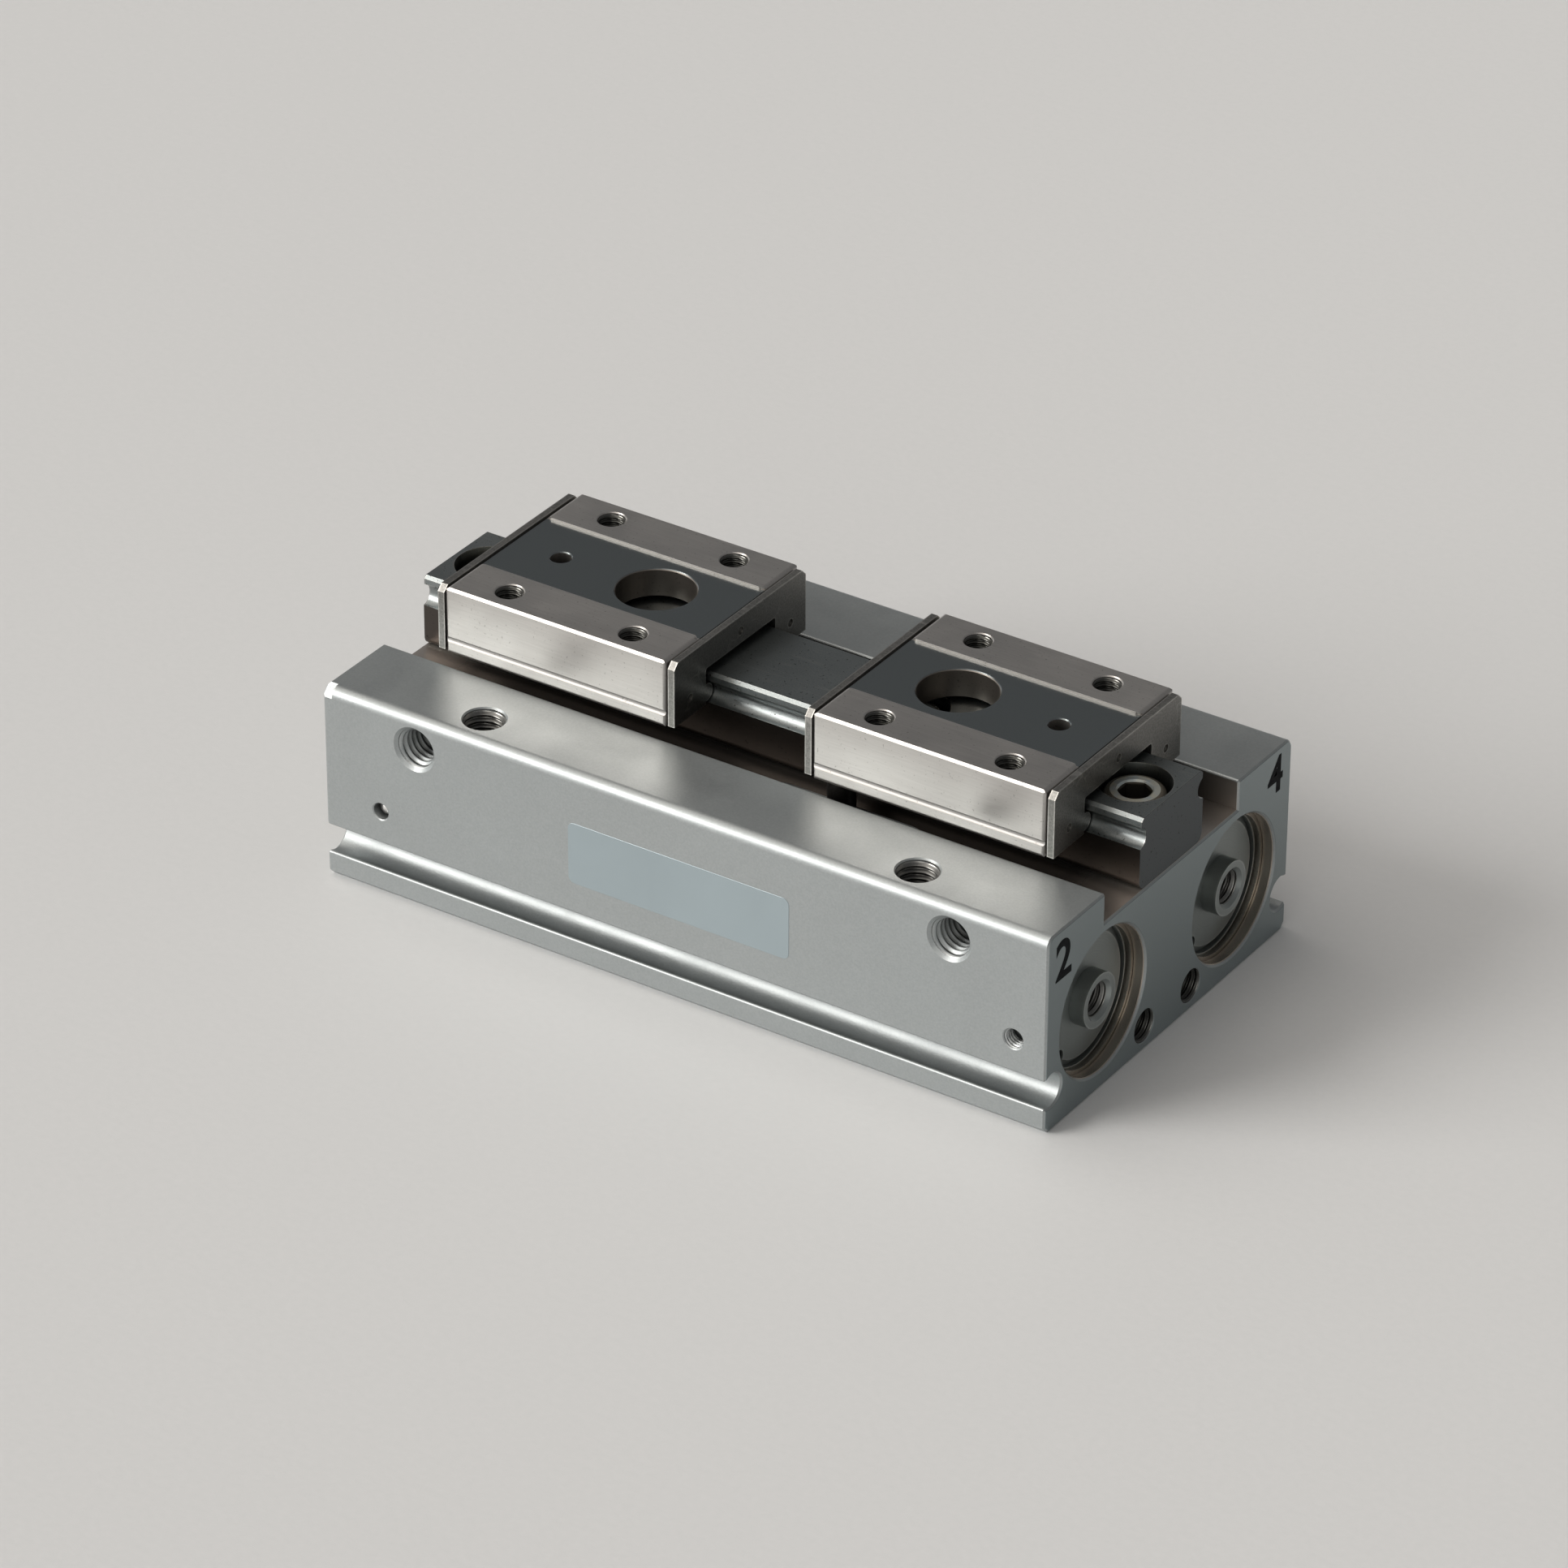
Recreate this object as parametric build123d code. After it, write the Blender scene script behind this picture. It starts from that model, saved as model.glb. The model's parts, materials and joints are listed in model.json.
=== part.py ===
from build123d import *
import math
import os

# Parallel gripper with two opposed pistons, one pinion between them and two steel
# fingers on a common ball guide. Millimetres. The origin is the bottom centre of the
# housing, +X runs along the guide towards the port end, +Y away from the label side.

# Housing extrusion
body_length = 117.0
body_width = 62.4
shoulder_height = 30.4
channel_depth = 4.6
channel_clearance = 0.9
top_edge_radius = 1.5
bottom_edge_break = 1.0
channel_lip_radius = 0.4
end_chamfer = 0.3
corner_flat = 1.6
corner_flat_length = 1.5

# Sensor slots, round grooves that open through each long side
slot_radius = 2.5
slot_inset = 1.65
slot_height = 6.2
slot_lip_radius = 0.3

# Walls around the cylinder bores, and the recesses at the ends of the bores
side_wall = 4.3
bore_floor = 3.4
bore_roof = 2.4
recess_step = 0.7
recess_depth = 7.5
recess_chamfer = 0.4

# End caps, their rings and seals
cap_face_depth = 2.9
cap_clearance = 0.05
cap_boss_radius = 4.0
cap_boss_height = 2.3
cap_hole_depth = 4.8
cap_groove_rim = 0.65
cap_groove_width = 1.0
cap_groove_depth = 0.8
cap_notch_radius = 1.1
cap_notch_angle = 226.0
cap_seal_width = 1.5
cap_seal_depth = 1.15
ring_thickness = 1.0
ring_stand = 0.55
ring_bite = 0.55
ring_groove_play = 0.05
ring_gap = 3.0

# Thread sizes, each modelled at its nominal radius
m3_radius = 1.5
m4_radius = 2.0
m5_radius = 2.5
m6_radius = 3.0
top_thread_chamfer = 0.2
side_thread_chamfer = 0.45
small_thread_chamfer = 0.15
cap_hole_chamfer = 0.5

# Threaded holes and plugged passages in the housing
top_hole_from_end = 23.5
top_hole_from_side = 5.2
top_hole_depth = 7.5
side_hole_from_end = 15.3
side_hole_drop = 5.1
side_hole_floor = 5.6
set_hole_from_end = 5.1
set_hole_floor = 1.0
feed_from_end = 9.3
plug_radius = 1.25
plug_recess = 0.9
port_y = 6.0
port_height = 3.72
port_depth = 8.0
port_lip = 0.1
passage_radius = 1.0

# Guide rail and its screws
rail_end_gap = 0.3
rail_width = 16.0
rail_height = 11.0
rail_top_inset = 0.25
rail_top_chamfer = 0.45
rail_foot_radius = 1.4
screw_from_end = 5.8
screw_x_inner = 17.4
screw_head_radius = 4.25
screw_head_height = 5.0
screw_recess = 1.1
screw_bore_play = 0.85
screw_shank_play = 0.25
screw_grip = 9.0
screw_tap_spare = 1.0
screw_head_chamfer = 0.35
screw_fit = 0.02
hex_flats = 4.0
hex_depth = 2.5

# Ball track between rail and fingers
ball_radius = 1.5875
ball_play = 0.0625
track_stand = 0.2
track_drop = 2.9
balls_per_row = 6
ball_pitch = 4.2

# Fingers
finger_length = 36.5
finger_width = 32.4
finger_height = 10.45
finger_reach_down = 5.2
throat_clearance = 0.5
roof_clearance = 0.7
band_recess = 0.35
band_edge_y = 7.9
band_corner_radius = 1.0
finger_edge_chamfer = 0.35
finger_foot_radius = 0.8
finger_corner_radius = 0.5
finger_end_radius = 0.7
side_groove_radius = 0.53
side_groove_stand = 0.28
side_groove_rise = 2.4
finger_hole_pitch_x = 20.5
finger_hole_inset = 3.95
finger_hole_depth = 5.5
window_radius = 5.65
window_offset = 5.65
dowel_radius = 1.5
window_chamfer = 0.2

# End plates of the fingers and the wipers behind them
plate_thickness = 1.05
wiper_thickness = 0.3
plate_top_drop = 0.15
plate_bottom_rise = 0.5
plate_side_inset = 0.15
plate_corner = 0.9
plate_arch_rise = 0.2
plate_lobe_clearance = 0.3
wiper_inset = 0.5
rivet_radius = 0.6
rivet_leg_rise = 1.1
rivet_top_drop = 0.2
rivet_length = 1.6
rivet_recess = 0.2

# Travel of each finger, and the drive pins from pistons to fingers
stroke = 10.0
closed_half_gap = 0.55
drive_pin_radius = 2.0
drive_pin_from_end = 2.6
drive_pin_from_side = 3.2
drive_pin_rise = 1.1
drive_pin_reach = 5.4
drive_pin_fit = 0.02
drive_pin_chamfer = 0.3
drive_slot_play = 0.3

# Pistons
piston_end_play = 0.2
piston_clearance = 0.07
piston_edge = 0.4
seal_from_end = 1.2
seal_width = 2.2
seal_depth = 2.5
seal_play = 0.02
magnet_from_end = 4.4
magnet_width = 2.5
magnet_depth = 2.0
guide_ring_from_end = 8.0
guide_ring_width = 2.0
guide_ring_depth = 0.8
bumper_radius = 4.0
bumper_seat = 0.8
bumper_stand = 0.2

# Pinion and racks
gear_module = 1.0
gear_teeth = 18
pressure_angle = 20.0
gear_width = 7.0
tooth_clearance = 0.25
tip_relief = 0.05
flank_play = 0.05
rack_sink = 2.1
rack_spare = 7.3
rack_relief = 4.0
pinion_pin_radius = 2.5
pinion_pin_seat = 4.0
needle_radius = 0.75
needle_gap = 0.1
needle_end_play = 0.3
needle_play = 0.03
washer_radius = 6.0
washer_thickness = 0.5
washer_play = 0.05
pocket_clearance = 0.4
cover_step = 0.4
cover_thickness = 2.0
cover_boss_rim = 1.0
cover_fit = 0.02

# Reach of a cut past the surface it leaves, and how close two points count as one
overcut = 1.0
same_point = 0.01

# Housing, worked out from the sizes above. The bores are as large as the walls allow
# both across the body, beside the pinion, and in its height.
half_length = body_length / 2
half_width = body_width / 2
half_channel = finger_width / 2 + channel_clearance
channel_floor = shoulder_height - channel_depth
pitch_radius = gear_module * gear_teeth / 2
bore_room_across = half_width - side_wall - (pitch_radius - rack_sink)
bore_room_up = channel_floor - bore_roof - bore_floor
bore_radius = min(bore_room_across, bore_room_up) / 2
bore_y = pitch_radius - rack_sink + bore_radius
bore_height = bore_floor + bore_radius
recess_radius = bore_radius + recess_step
cap_radius = recess_radius - cap_clearance
cap_face_x = half_length - cap_face_depth
cap_seat_x = half_length - recess_depth
feed_x = half_length - feed_from_end

# Guide and fingers
rail_top = channel_floor + rail_height
half_rail = half_length - rail_end_gap
screw_places = (screw_from_end - half_rail, -screw_x_inner, screw_x_inner, half_rail - screw_from_end)
track_radius = ball_radius + ball_play
track_offset = rail_width / 2 + track_stand
track_height = rail_top - track_drop
finger_bottom = rail_top - finger_reach_down
finger_top = finger_bottom + finger_height
finger_throat = rail_width + 2 * throat_clearance
finger_ceiling = rail_top + roof_clearance
finger_inner_x = stroke + closed_half_gap + plate_thickness + wiper_thickness
finger_centre = finger_inner_x + finger_length / 2
finger_hole_pitch_y = finger_width - 2 * finger_hole_inset
plate_half_width = finger_width / 2 - plate_side_inset
plate_top = finger_top - plate_top_drop
plate_arch_top = finger_ceiling + plate_arch_rise
rivet_leg_y = (finger_throat / 2 + plate_half_width) / 2
rivet_leg_height = track_height + rivet_leg_rise
rivet_top_height = (plate_arch_top + plate_top) / 2 - rivet_top_drop
rivet_places = ((-rivet_leg_y, rivet_leg_height), (rivet_leg_y, rivet_leg_height), (0, rivet_top_height))

# Drive
drive_pin_x = finger_inner_x + drive_pin_from_end
drive_pin_y = finger_width / 2 - drive_pin_from_side
drive_pin_bottom = bore_height + drive_pin_rise
drive_pin_top = finger_bottom + drive_pin_reach
piston_radius = bore_radius - piston_clearance
piston_length = 2 * (cap_seat_x - stroke - piston_end_play - bumper_stand)
pinion_floor = bore_height - gear_width / 2
pocket_radius = pitch_radius + gear_module + pocket_clearance
pocket_floor = pinion_floor - washer_play - washer_thickness
boss_floor = pinion_floor + gear_width + washer_play + washer_thickness
cover_radius = pocket_radius + cover_step
needle_orbit = pinion_pin_radius + needle_radius + needle_play
eye_radius = needle_orbit + needle_radius + needle_play

UP = (0, 0, 1)
DOWN = (0, 0, -1)
FROM_BASE = (Align.CENTER, Align.CENTER, Align.MIN)


def rod(radius, start, direction, length):
    """Round bar of the given length that begins at start and runs along direction."""
    return Plane(origin=start, z_dir=direction) * Cylinder(radius, length, align=FROM_BASE)


def taper(start_radius, end_radius, start, direction, length):
    """Cone frustum that begins at start and runs along direction."""
    frustum = Cone(start_radius, end_radius, length, align=FROM_BASE)
    return Plane(origin=start, z_dir=direction) * frustum


def tube(outer, inner, start, direction, length):
    """Round bar with a round hole through it."""
    return rod(outer, start, direction, length) - rod(inner, start, direction, length)


def block(x_range, y_range, z_range):
    """Box between three pairs of limits."""
    low = (x_range[0], y_range[0], z_range[0])
    size = [limits[1] - limits[0] for limits in (x_range, y_range, z_range)]
    return Pos(*low) * Box(*size, align=(Align.MIN, Align.MIN, Align.MIN))


def mouth_hole(radius, mouth, inward, depth, chamfer_size):
    """Drilled hole with a countersunk mouth."""
    hole = rod(radius, mouth, inward, depth)
    return hole + taper(radius + chamfer_size, radius, mouth, inward, chamfer_size)


def across_x(section, length, centre=0.0):
    """Section drawn in the YZ plane, carried along X to both sides of centre."""
    return Pos(centre, 0, 0) * extrude(Plane.YZ * section, amount=length / 2, both=True)


def corners_at(section, points):
    """Corners of a section that lie at the given points."""
    found = []
    for corner in section.vertices():
        if any(math.dist((corner.X, corner.Y), point) < same_point for point in points):
            found.append(corner)
    return found


def rounded(section, points, radius):
    return fillet(corners_at(section, points), radius)


def bevelled(section, points, length):
    return chamfer(corners_at(section, points), length)


def housing_section():
    """Extruded section with two shoulders, a wide channel and the sensor slots."""
    section = Rectangle(body_width, shoulder_height, align=(Align.CENTER, Align.MIN))
    section -= Pos(0, channel_floor) * Rectangle(
        2 * half_channel, channel_depth, align=(Align.CENTER, Align.MIN)
    )
    section = rounded(
        section, [(side * half_width, shoulder_height) for side in (-1, 1)], top_edge_radius
    )
    section = rounded(
        section, [(side * half_channel, shoulder_height) for side in (-1, 1)], channel_lip_radius
    )
    section = bevelled(section, [(side * half_width, 0) for side in (-1, 1)], bottom_edge_break)
    half_mouth = math.sqrt(slot_radius**2 - slot_inset**2)
    lips = []
    for side in (-1, 1):
        section -= Pos(side * (half_width - slot_inset), slot_height) * Circle(slot_radius)
        lips.append((side * half_width, slot_height - half_mouth))
        lips.append((side * half_width, slot_height + half_mouth))
    return rounded(section, lips, slot_lip_radius)


def corner_flat_cut():
    """Small flat on the rounded top edge where it runs out at the near end away from the ports."""
    side = -half_width
    outline = Polyline(
        (side - overcut, shoulder_height - corner_flat - overcut),
        (side + corner_flat + overcut, shoulder_height + overcut),
        (side - overcut, shoulder_height + overcut),
        close=True,
    )
    return across_x(make_face(outline), 2 * corner_flat_length, -half_length)


def bore_cuts(side):
    """One cylinder with its two stepped ends, on the side given by the sign of Y."""
    y = side * bore_y
    cuts = rod(bore_radius, (-half_length, y, bore_height), (1, 0, 0), body_length)
    groove_radius = recess_radius + ring_bite + ring_groove_play
    groove_width = ring_thickness + 2 * ring_groove_play
    for end in (-1, 1):
        mouth = (end * half_length, y, bore_height)
        inward = (-end, 0, 0)
        cuts += mouth_hole(recess_radius, mouth, inward, recess_depth, recess_chamfer)
        groove_start = (end * (cap_face_x - ring_groove_play), y, bore_height)
        cuts += rod(groove_radius, groove_start, (end, 0, 0), groove_width)
    return cuts


def drive_slot_cut(side):
    """Slot in the channel floor for the drive pin; the near slot lies towards +X."""
    reach = drive_pin_radius + drive_slot_play
    y = side * drive_pin_y
    centre_x = -side * drive_pin_x
    long_part = block(
        (centre_x - stroke, centre_x + stroke), (y - reach, y + reach), (bore_height, channel_floor)
    )
    for end in (-1, 1):
        start = (centre_x + end * stroke, y, bore_height)
        long_part += rod(reach, start, UP, channel_floor - bore_height)
    return long_part


def passage_cuts():
    """Ports in the +X end, their long drillings and the feeds into the -X ends of the bores."""
    cuts = []
    for side in (-1, 1):
        y = side * port_y
        mouth = (half_length, y, port_height)
        cuts.append(mouth_hole(m5_radius, mouth, (-1, 0, 0), port_depth, port_lip))
        cuts.append(rod(passage_radius, mouth, (-1, 0, 0), half_length + feed_x))
        feed = (0, side * (bore_y - port_y), bore_height - port_height)
        feed_length = math.hypot(feed[1], feed[2]) - bore_radius / 2
        cuts.append(rod(passage_radius, (-feed_x, y, port_height), feed, feed_length))
    return cuts


def side_face_holes():
    """Threaded holes and plugged drillings in the two long sides."""
    cuts = []
    bracket_x = half_length - side_hole_from_end
    bracket_depth = half_width - half_channel - side_hole_floor
    set_x = half_length - set_hole_from_end
    set_depth = half_width - bore_y - recess_radius - set_hole_floor
    for side in (-1, 1):
        inward = (0, -side, 0)
        face_y = side * half_width
        for x in (-bracket_x, bracket_x):
            mouth = (x, face_y, shoulder_height - side_hole_drop)
            cuts.append(mouth_hole(m6_radius, mouth, inward, bracket_depth, side_thread_chamfer))
        mouth = (set_x, face_y, bore_height)
        cuts.append(mouth_hole(m3_radius, mouth, inward, set_depth, small_thread_chamfer))
        mouth = (-feed_x, face_y, bore_height)
        reach = half_width - bore_y
        cuts.append(mouth_hole(plug_radius, mouth, inward, reach, small_thread_chamfer))
    return cuts


def housing():
    body = across_x(housing_section(), body_length)
    ends = [body.faces().sort_by(Axis.X)[index] for index in (0, -1)]
    rims = [edge for end in ends for edge in end.edges() if edge.geom_type == GeomType.LINE]
    body = chamfer(rims, end_chamfer)
    cuts = [bore_cuts(-1), bore_cuts(1), drive_slot_cut(-1), drive_slot_cut(1), corner_flat_cut()]
    cuts += passage_cuts() + side_face_holes()
    for side in (-1, 1):
        for end in (-1, 1):
            x = end * (half_length - top_hole_from_end)
            y = side * (half_width - top_hole_from_side)
            top = (x, y, shoulder_height)
            cuts.append(mouth_hole(m6_radius, top, DOWN, top_hole_depth, top_thread_chamfer))
    for x in screw_places:
        cuts.append(rod(m5_radius, (x, 0, channel_floor), DOWN, screw_grip + screw_tap_spare))
    cuts.append(rod(pocket_radius, (0, 0, pocket_floor), UP, channel_floor - pocket_floor))
    cuts.append(rod(cover_radius, (0, 0, channel_floor), DOWN, cover_thickness))
    cuts.append(rod(pinion_pin_radius, (0, 0, pocket_floor), DOWN, pinion_pin_seat))
    return body - cuts


def end_cap(side, end):
    """Cap with a raised, threaded boss and a grooved face, seated in its recess."""
    axis_y = side * bore_y
    outward = (end, 0, 0)
    seat = (end * cap_seat_x, axis_y, bore_height)
    face = (end * cap_face_x, axis_y, bore_height)
    cap = rod(cap_radius, seat, outward, cap_face_x - cap_seat_x)
    cap += rod(cap_boss_radius, face, outward, cap_boss_height)
    inward = (-end, 0, 0)
    groove_outer = cap_radius - cap_groove_rim
    groove_inner = groove_outer - cap_groove_width
    cap -= tube(groove_outer, groove_inner, face, inward, cap_groove_depth)
    boss_mouth = (end * (cap_face_x + cap_boss_height), axis_y, bore_height)
    cap -= mouth_hole(m5_radius, boss_mouth, inward, cap_hole_depth, cap_hole_chamfer)
    angle = math.radians(cap_notch_angle)
    notch_y = axis_y + groove_inner * math.cos(angle)
    notch_z = bore_height + groove_inner * math.sin(angle)
    cap -= rod(cap_notch_radius, (end * cap_face_x, notch_y, notch_z), inward, cap_groove_depth)
    return cap - cap_seal_ring(side, end, recess_radius)


def cap_seal_ring(side, end, outer):
    """Ring of the section of the cap's seal groove, out to the given radius."""
    middle = (cap_seat_x + cap_face_x - cap_groove_depth) / 2
    start = (end * (middle - cap_seal_width / 2), side * bore_y, bore_height)
    inner = cap_radius - cap_seal_depth
    return tube(outer, inner, start, (end, 0, 0), cap_seal_width)


def retaining_ring(side, end):
    """Open spring ring in the groove in front of the cap; its ends meet at the notch."""
    axis_y = side * bore_y
    start = (end * cap_face_x, axis_y, bore_height)
    outer = recess_radius + ring_bite
    ring = tube(outer, recess_radius - ring_stand, start, (end, 0, 0), ring_thickness)
    angle = math.radians(cap_notch_angle)
    outward = (0, math.cos(angle), math.sin(angle))
    middle_y = axis_y + recess_radius * outward[1]
    middle_z = bore_height + recess_radius * outward[2]
    middle_x = end * (cap_face_x + ring_thickness / 2)
    gap = Plane(origin=(middle_x, middle_y, middle_z), x_dir=outward, z_dir=(1, 0, 0))
    return ring - gap * Box(2 * ring_gap, ring_gap, 2 * ring_thickness)


def plug_ball(side):
    centre_y = side * (half_width - plug_recess - plug_radius)
    return Pos(-feed_x, centre_y, bore_height) * Sphere(plug_radius)


def rail_section():
    """Rail with a ball groove on each flank; its head is a little narrower than its foot."""
    half_foot = rail_width / 2
    half_head = half_foot - rail_top_inset
    foot_height = track_height - channel_floor
    section = Pos(0, channel_floor) * Rectangle(
        2 * half_head, rail_height, align=(Align.CENTER, Align.MIN)
    )
    section += Pos(0, channel_floor) * Rectangle(
        rail_width, foot_height, align=(Align.CENTER, Align.MIN)
    )
    section = bevelled(section, [(side * half_head, rail_top) for side in (-1, 1)], rail_top_chamfer)
    section = rounded(section, [(side * half_foot, channel_floor) for side in (-1, 1)], rail_foot_radius)
    for side in (-1, 1):
        section -= Pos(side * track_offset, track_height) * Circle(track_radius)
    return section


def guide_rail():
    rail = across_x(rail_section(), 2 * half_rail)
    recess = screw_recess + screw_head_height
    for x in screw_places:
        rail -= rod(screw_head_radius + screw_bore_play, (x, 0, rail_top), DOWN, recess)
        rail -= rod(m5_radius + screw_shank_play, (x, 0, rail_top), DOWN, rail_height)
    return rail


def rail_screw(x):
    """Socket head screw through the rail into the housing."""
    seat = rail_top - screw_recess - screw_head_height
    head = rod(screw_head_radius, (x, 0, seat), UP, screw_head_height)
    head = chamfer(head.edges().sort_by(Axis.Z)[-1], screw_head_chamfer)
    tip = channel_floor - screw_grip
    shank = rod(m5_radius - screw_fit, (x, 0, tip), UP, seat - tip)
    socket = extrude(RegularPolygon(hex_flats / 2, 6, major_radius=False), hex_depth)
    return head + shank - Pos(x, 0, seat + screw_head_height - hex_depth) * socket


def finger_section():
    """Inverted U over the rail, with ball grooves inside and a fine groove outside."""
    half = finger_width / 2
    section = Pos(0, finger_bottom) * Rectangle(
        finger_width, finger_height, align=(Align.CENTER, Align.MIN)
    )
    section -= Pos(0, finger_bottom) * Rectangle(
        finger_throat, finger_ceiling - finger_bottom, align=(Align.CENTER, Align.MIN)
    )
    section = bevelled(section, [(side * half, finger_top) for side in (-1, 1)], finger_edge_chamfer)
    section = rounded(section, [(side * half, finger_bottom) for side in (-1, 1)], finger_foot_radius)
    for side in (-1, 1):
        section -= Pos(side * track_offset, track_height) * Circle(track_radius)
        groove = Pos(side * (half + side_groove_stand), finger_bottom + side_groove_rise)
        section -= groove * Circle(side_groove_radius)
    return section


def finger_blank(centre):
    """Block of the finger's section, rounded at its ends both in plan and seen from the side."""
    blank = across_x(finger_section(), finger_length, centre)
    footprint = RectangleRounded(finger_length, finger_width, finger_corner_radius)
    blank &= Pos(centre, 0, finger_bottom) * extrude(footprint, finger_height)
    profile = RectangleRounded(finger_length, finger_height, finger_end_radius)
    middle = finger_bottom + finger_height / 2
    side_view = extrude(Plane.XZ * profile, amount=finger_width / 2, both=True)
    return blank & Pos(centre, 0, middle) * side_view


def band_recess_cut(centre):
    """Shallow strip along the top between two raised bands with rounded inner corners."""
    floor = finger_top - band_recess
    strip = block(
        (centre - finger_length, centre + finger_length), (-finger_width, finger_width), (floor, finger_top)
    )
    band = RectangleRounded(finger_length, finger_width, band_corner_radius)
    for side in (-1, 1):
        y = side * (band_edge_y + finger_width / 2)
        strip -= Pos(centre, y, floor) * extrude(band, band_recess)
    return strip


def finger(hand):
    """Finger block; hand is +1 for the finger towards +X and -1 for the other."""
    centre = hand * finger_centre
    part = finger_blank(centre) - band_recess_cut(centre)
    for step in (-0.5, 0.5):
        for side in (-0.5, 0.5):
            place = (centre + step * finger_hole_pitch_x, side * finger_hole_pitch_y, finger_top)
            part -= mouth_hole(m4_radius, place, DOWN, finger_hole_depth, small_thread_chamfer)
    band = finger_top - band_recess
    through = band - finger_ceiling
    window = (centre - hand * window_offset, 0, band)
    part -= mouth_hole(window_radius, window, DOWN, through, window_chamfer)
    dowel = (centre + hand * finger_hole_pitch_x / 2, 0, band)
    part -= mouth_hole(dowel_radius, dowel, DOWN, through, small_thread_chamfer)
    pin = (hand * drive_pin_x, -hand * drive_pin_y, finger_bottom)
    part -= rod(drive_pin_radius + drive_pin_fit, pin, UP, drive_pin_top - finger_bottom)
    return part - plate_rivets(hand)


def plate_section(inset):
    """Arch that follows the finger's outline and reaches a lobe into each rail groove."""
    half = plate_half_width - inset
    top = plate_top - inset
    bottom = finger_bottom + plate_bottom_rise + inset
    section = Pos(0, bottom) * Rectangle(2 * half, top - bottom, align=(Align.CENTER, Align.MIN))
    section -= Pos(0, bottom) * Rectangle(
        finger_throat, plate_arch_top - bottom, align=(Align.CENTER, Align.MIN)
    )
    section = bevelled(section, [(side * half, top) for side in (-1, 1)], plate_corner)
    arch = [(side * finger_throat / 2, plate_arch_top) for side in (-1, 1)]
    section = rounded(section, arch, plate_corner / 2)
    for side in (-1, 1):
        section += Pos(side * track_offset, track_height) * Circle(track_radius - plate_lobe_clearance)
    return section


def end_plate(hand, face, section, thickness, holes):
    """Sheet of the given section whose inner face stands at face, outward from the block."""
    outward = 1 if abs(face) > finger_centre else -1
    middle = hand * (face + outward * thickness / 2)
    return across_x(section, thickness, middle) - holes


def plate_rivets(hand):
    """Small pins that hold both end plates, sunk a little below the plate faces."""
    pins = []
    for outward in (-1, 1):
        plate_face = finger_length / 2 + wiper_thickness + plate_thickness - rivet_recess
        start_x = hand * (finger_centre + outward * plate_face)
        for y, z in rivet_places:
            pins.append(rod(rivet_radius, (start_x, y, z), (-hand * outward, 0, 0), rivet_length))
    return pins


def rivet_holes(hand):
    """Holes right through the plates and wipers of one finger."""
    length = finger_length + 4 * plate_thickness
    start_x = hand * finger_centre - length / 2
    return [rod(rivet_radius, (start_x, y, z), (1, 0, 0), length) for y, z in rivet_places]


def guide_balls(hand):
    """Two rows of balls between one finger and the rail."""
    balls = []
    first = hand * finger_centre - ball_pitch * (balls_per_row - 1) / 2
    for index in range(balls_per_row):
        for side in (-1, 1):
            place = Pos(first + index * ball_pitch, side * track_offset, track_height)
            balls.append(place * Sphere(ball_radius))
    return balls


def drive_pin(hand):
    place = (hand * drive_pin_x, -hand * drive_pin_y, drive_pin_bottom)
    pin = rod(drive_pin_radius, place, UP, drive_pin_top - drive_pin_bottom)
    return chamfer(pin.edges().filter_by(GeomType.CIRCLE), drive_pin_chamfer)


def rack_cut(side):
    """Space cut from a piston's inner side so that rack teeth stand towards the pinion."""
    pitch = math.pi * gear_module
    half_tooth = pitch / 4 - flank_play
    slope = math.tan(math.radians(pressure_angle))
    tip_y = pitch_radius - gear_module + tip_relief
    root_y = pitch_radius + gear_module + tooth_clearance
    half_tip = half_tooth - (pitch_radius - tip_y) * slope
    half_root = half_tooth + (root_y - pitch_radius) * slope
    teeth_each_way = int((stroke + rack_spare) / pitch)
    half_cut = pitch * (teeth_each_way + 0.5) + rack_relief
    open_y = bore_y - bore_radius - overcut
    points = [(-half_cut, open_y), (-half_cut, root_y)]
    for index in range(-teeth_each_way, teeth_each_way + 1):
        x = index * pitch
        points += [(x - half_root, root_y), (x - half_tip, tip_y)]
        points += [(x + half_tip, tip_y), (x + half_root, root_y)]
    points += [(half_cut, root_y), (half_cut, open_y)]
    outline = Polyline(*[(x, side * y) for x, y in points], close=True)
    height = 2 * bore_radius
    return extrude(Pos(0, 0, bore_height) * make_face(outline), height / 2, dir=UP, both=True)


def piston_ring(side, from_end, width, inner, outer):
    """Two rings of one size, the same distance from each end of the piston."""
    rings = []
    for end in (-1, 1):
        start = (end * (piston_length / 2 - from_end), side * bore_y, bore_height)
        rings.append(tube(outer, inner, start, (-end, 0, 0), width))
    return rings


def piston(hand):
    """Piston with a rack; the piston that moves the +X finger lies on the near side."""
    side = -hand
    y = side * bore_y
    part = rod(piston_radius, (-piston_length / 2, y, bore_height), (1, 0, 0), piston_length)
    part = chamfer(part.edges().filter_by(GeomType.CIRCLE), piston_edge)
    beyond = piston_radius + overcut
    grooves = (
        (seal_from_end, seal_width, seal_depth),
        (magnet_from_end, magnet_width, magnet_depth),
        (guide_ring_from_end, guide_ring_width, guide_ring_depth),
    )
    for from_end, width, depth in grooves:
        part -= piston_ring(side, from_end, width, bore_radius - depth, beyond)
    for end in (-1, 1):
        part -= rod(bumper_radius, (end * piston_length / 2, y, bore_height), (-end, 0, 0), bumper_seat)
    part -= rack_cut(side)
    socket = (hand * drive_pin_x, side * drive_pin_y, drive_pin_bottom)
    return part - rod(drive_pin_radius + drive_pin_fit, socket, UP, bore_radius)


def piston_seals(hand):
    return piston_ring(-hand, seal_from_end, seal_width, bore_radius - seal_depth, bore_radius - seal_play)


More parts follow.
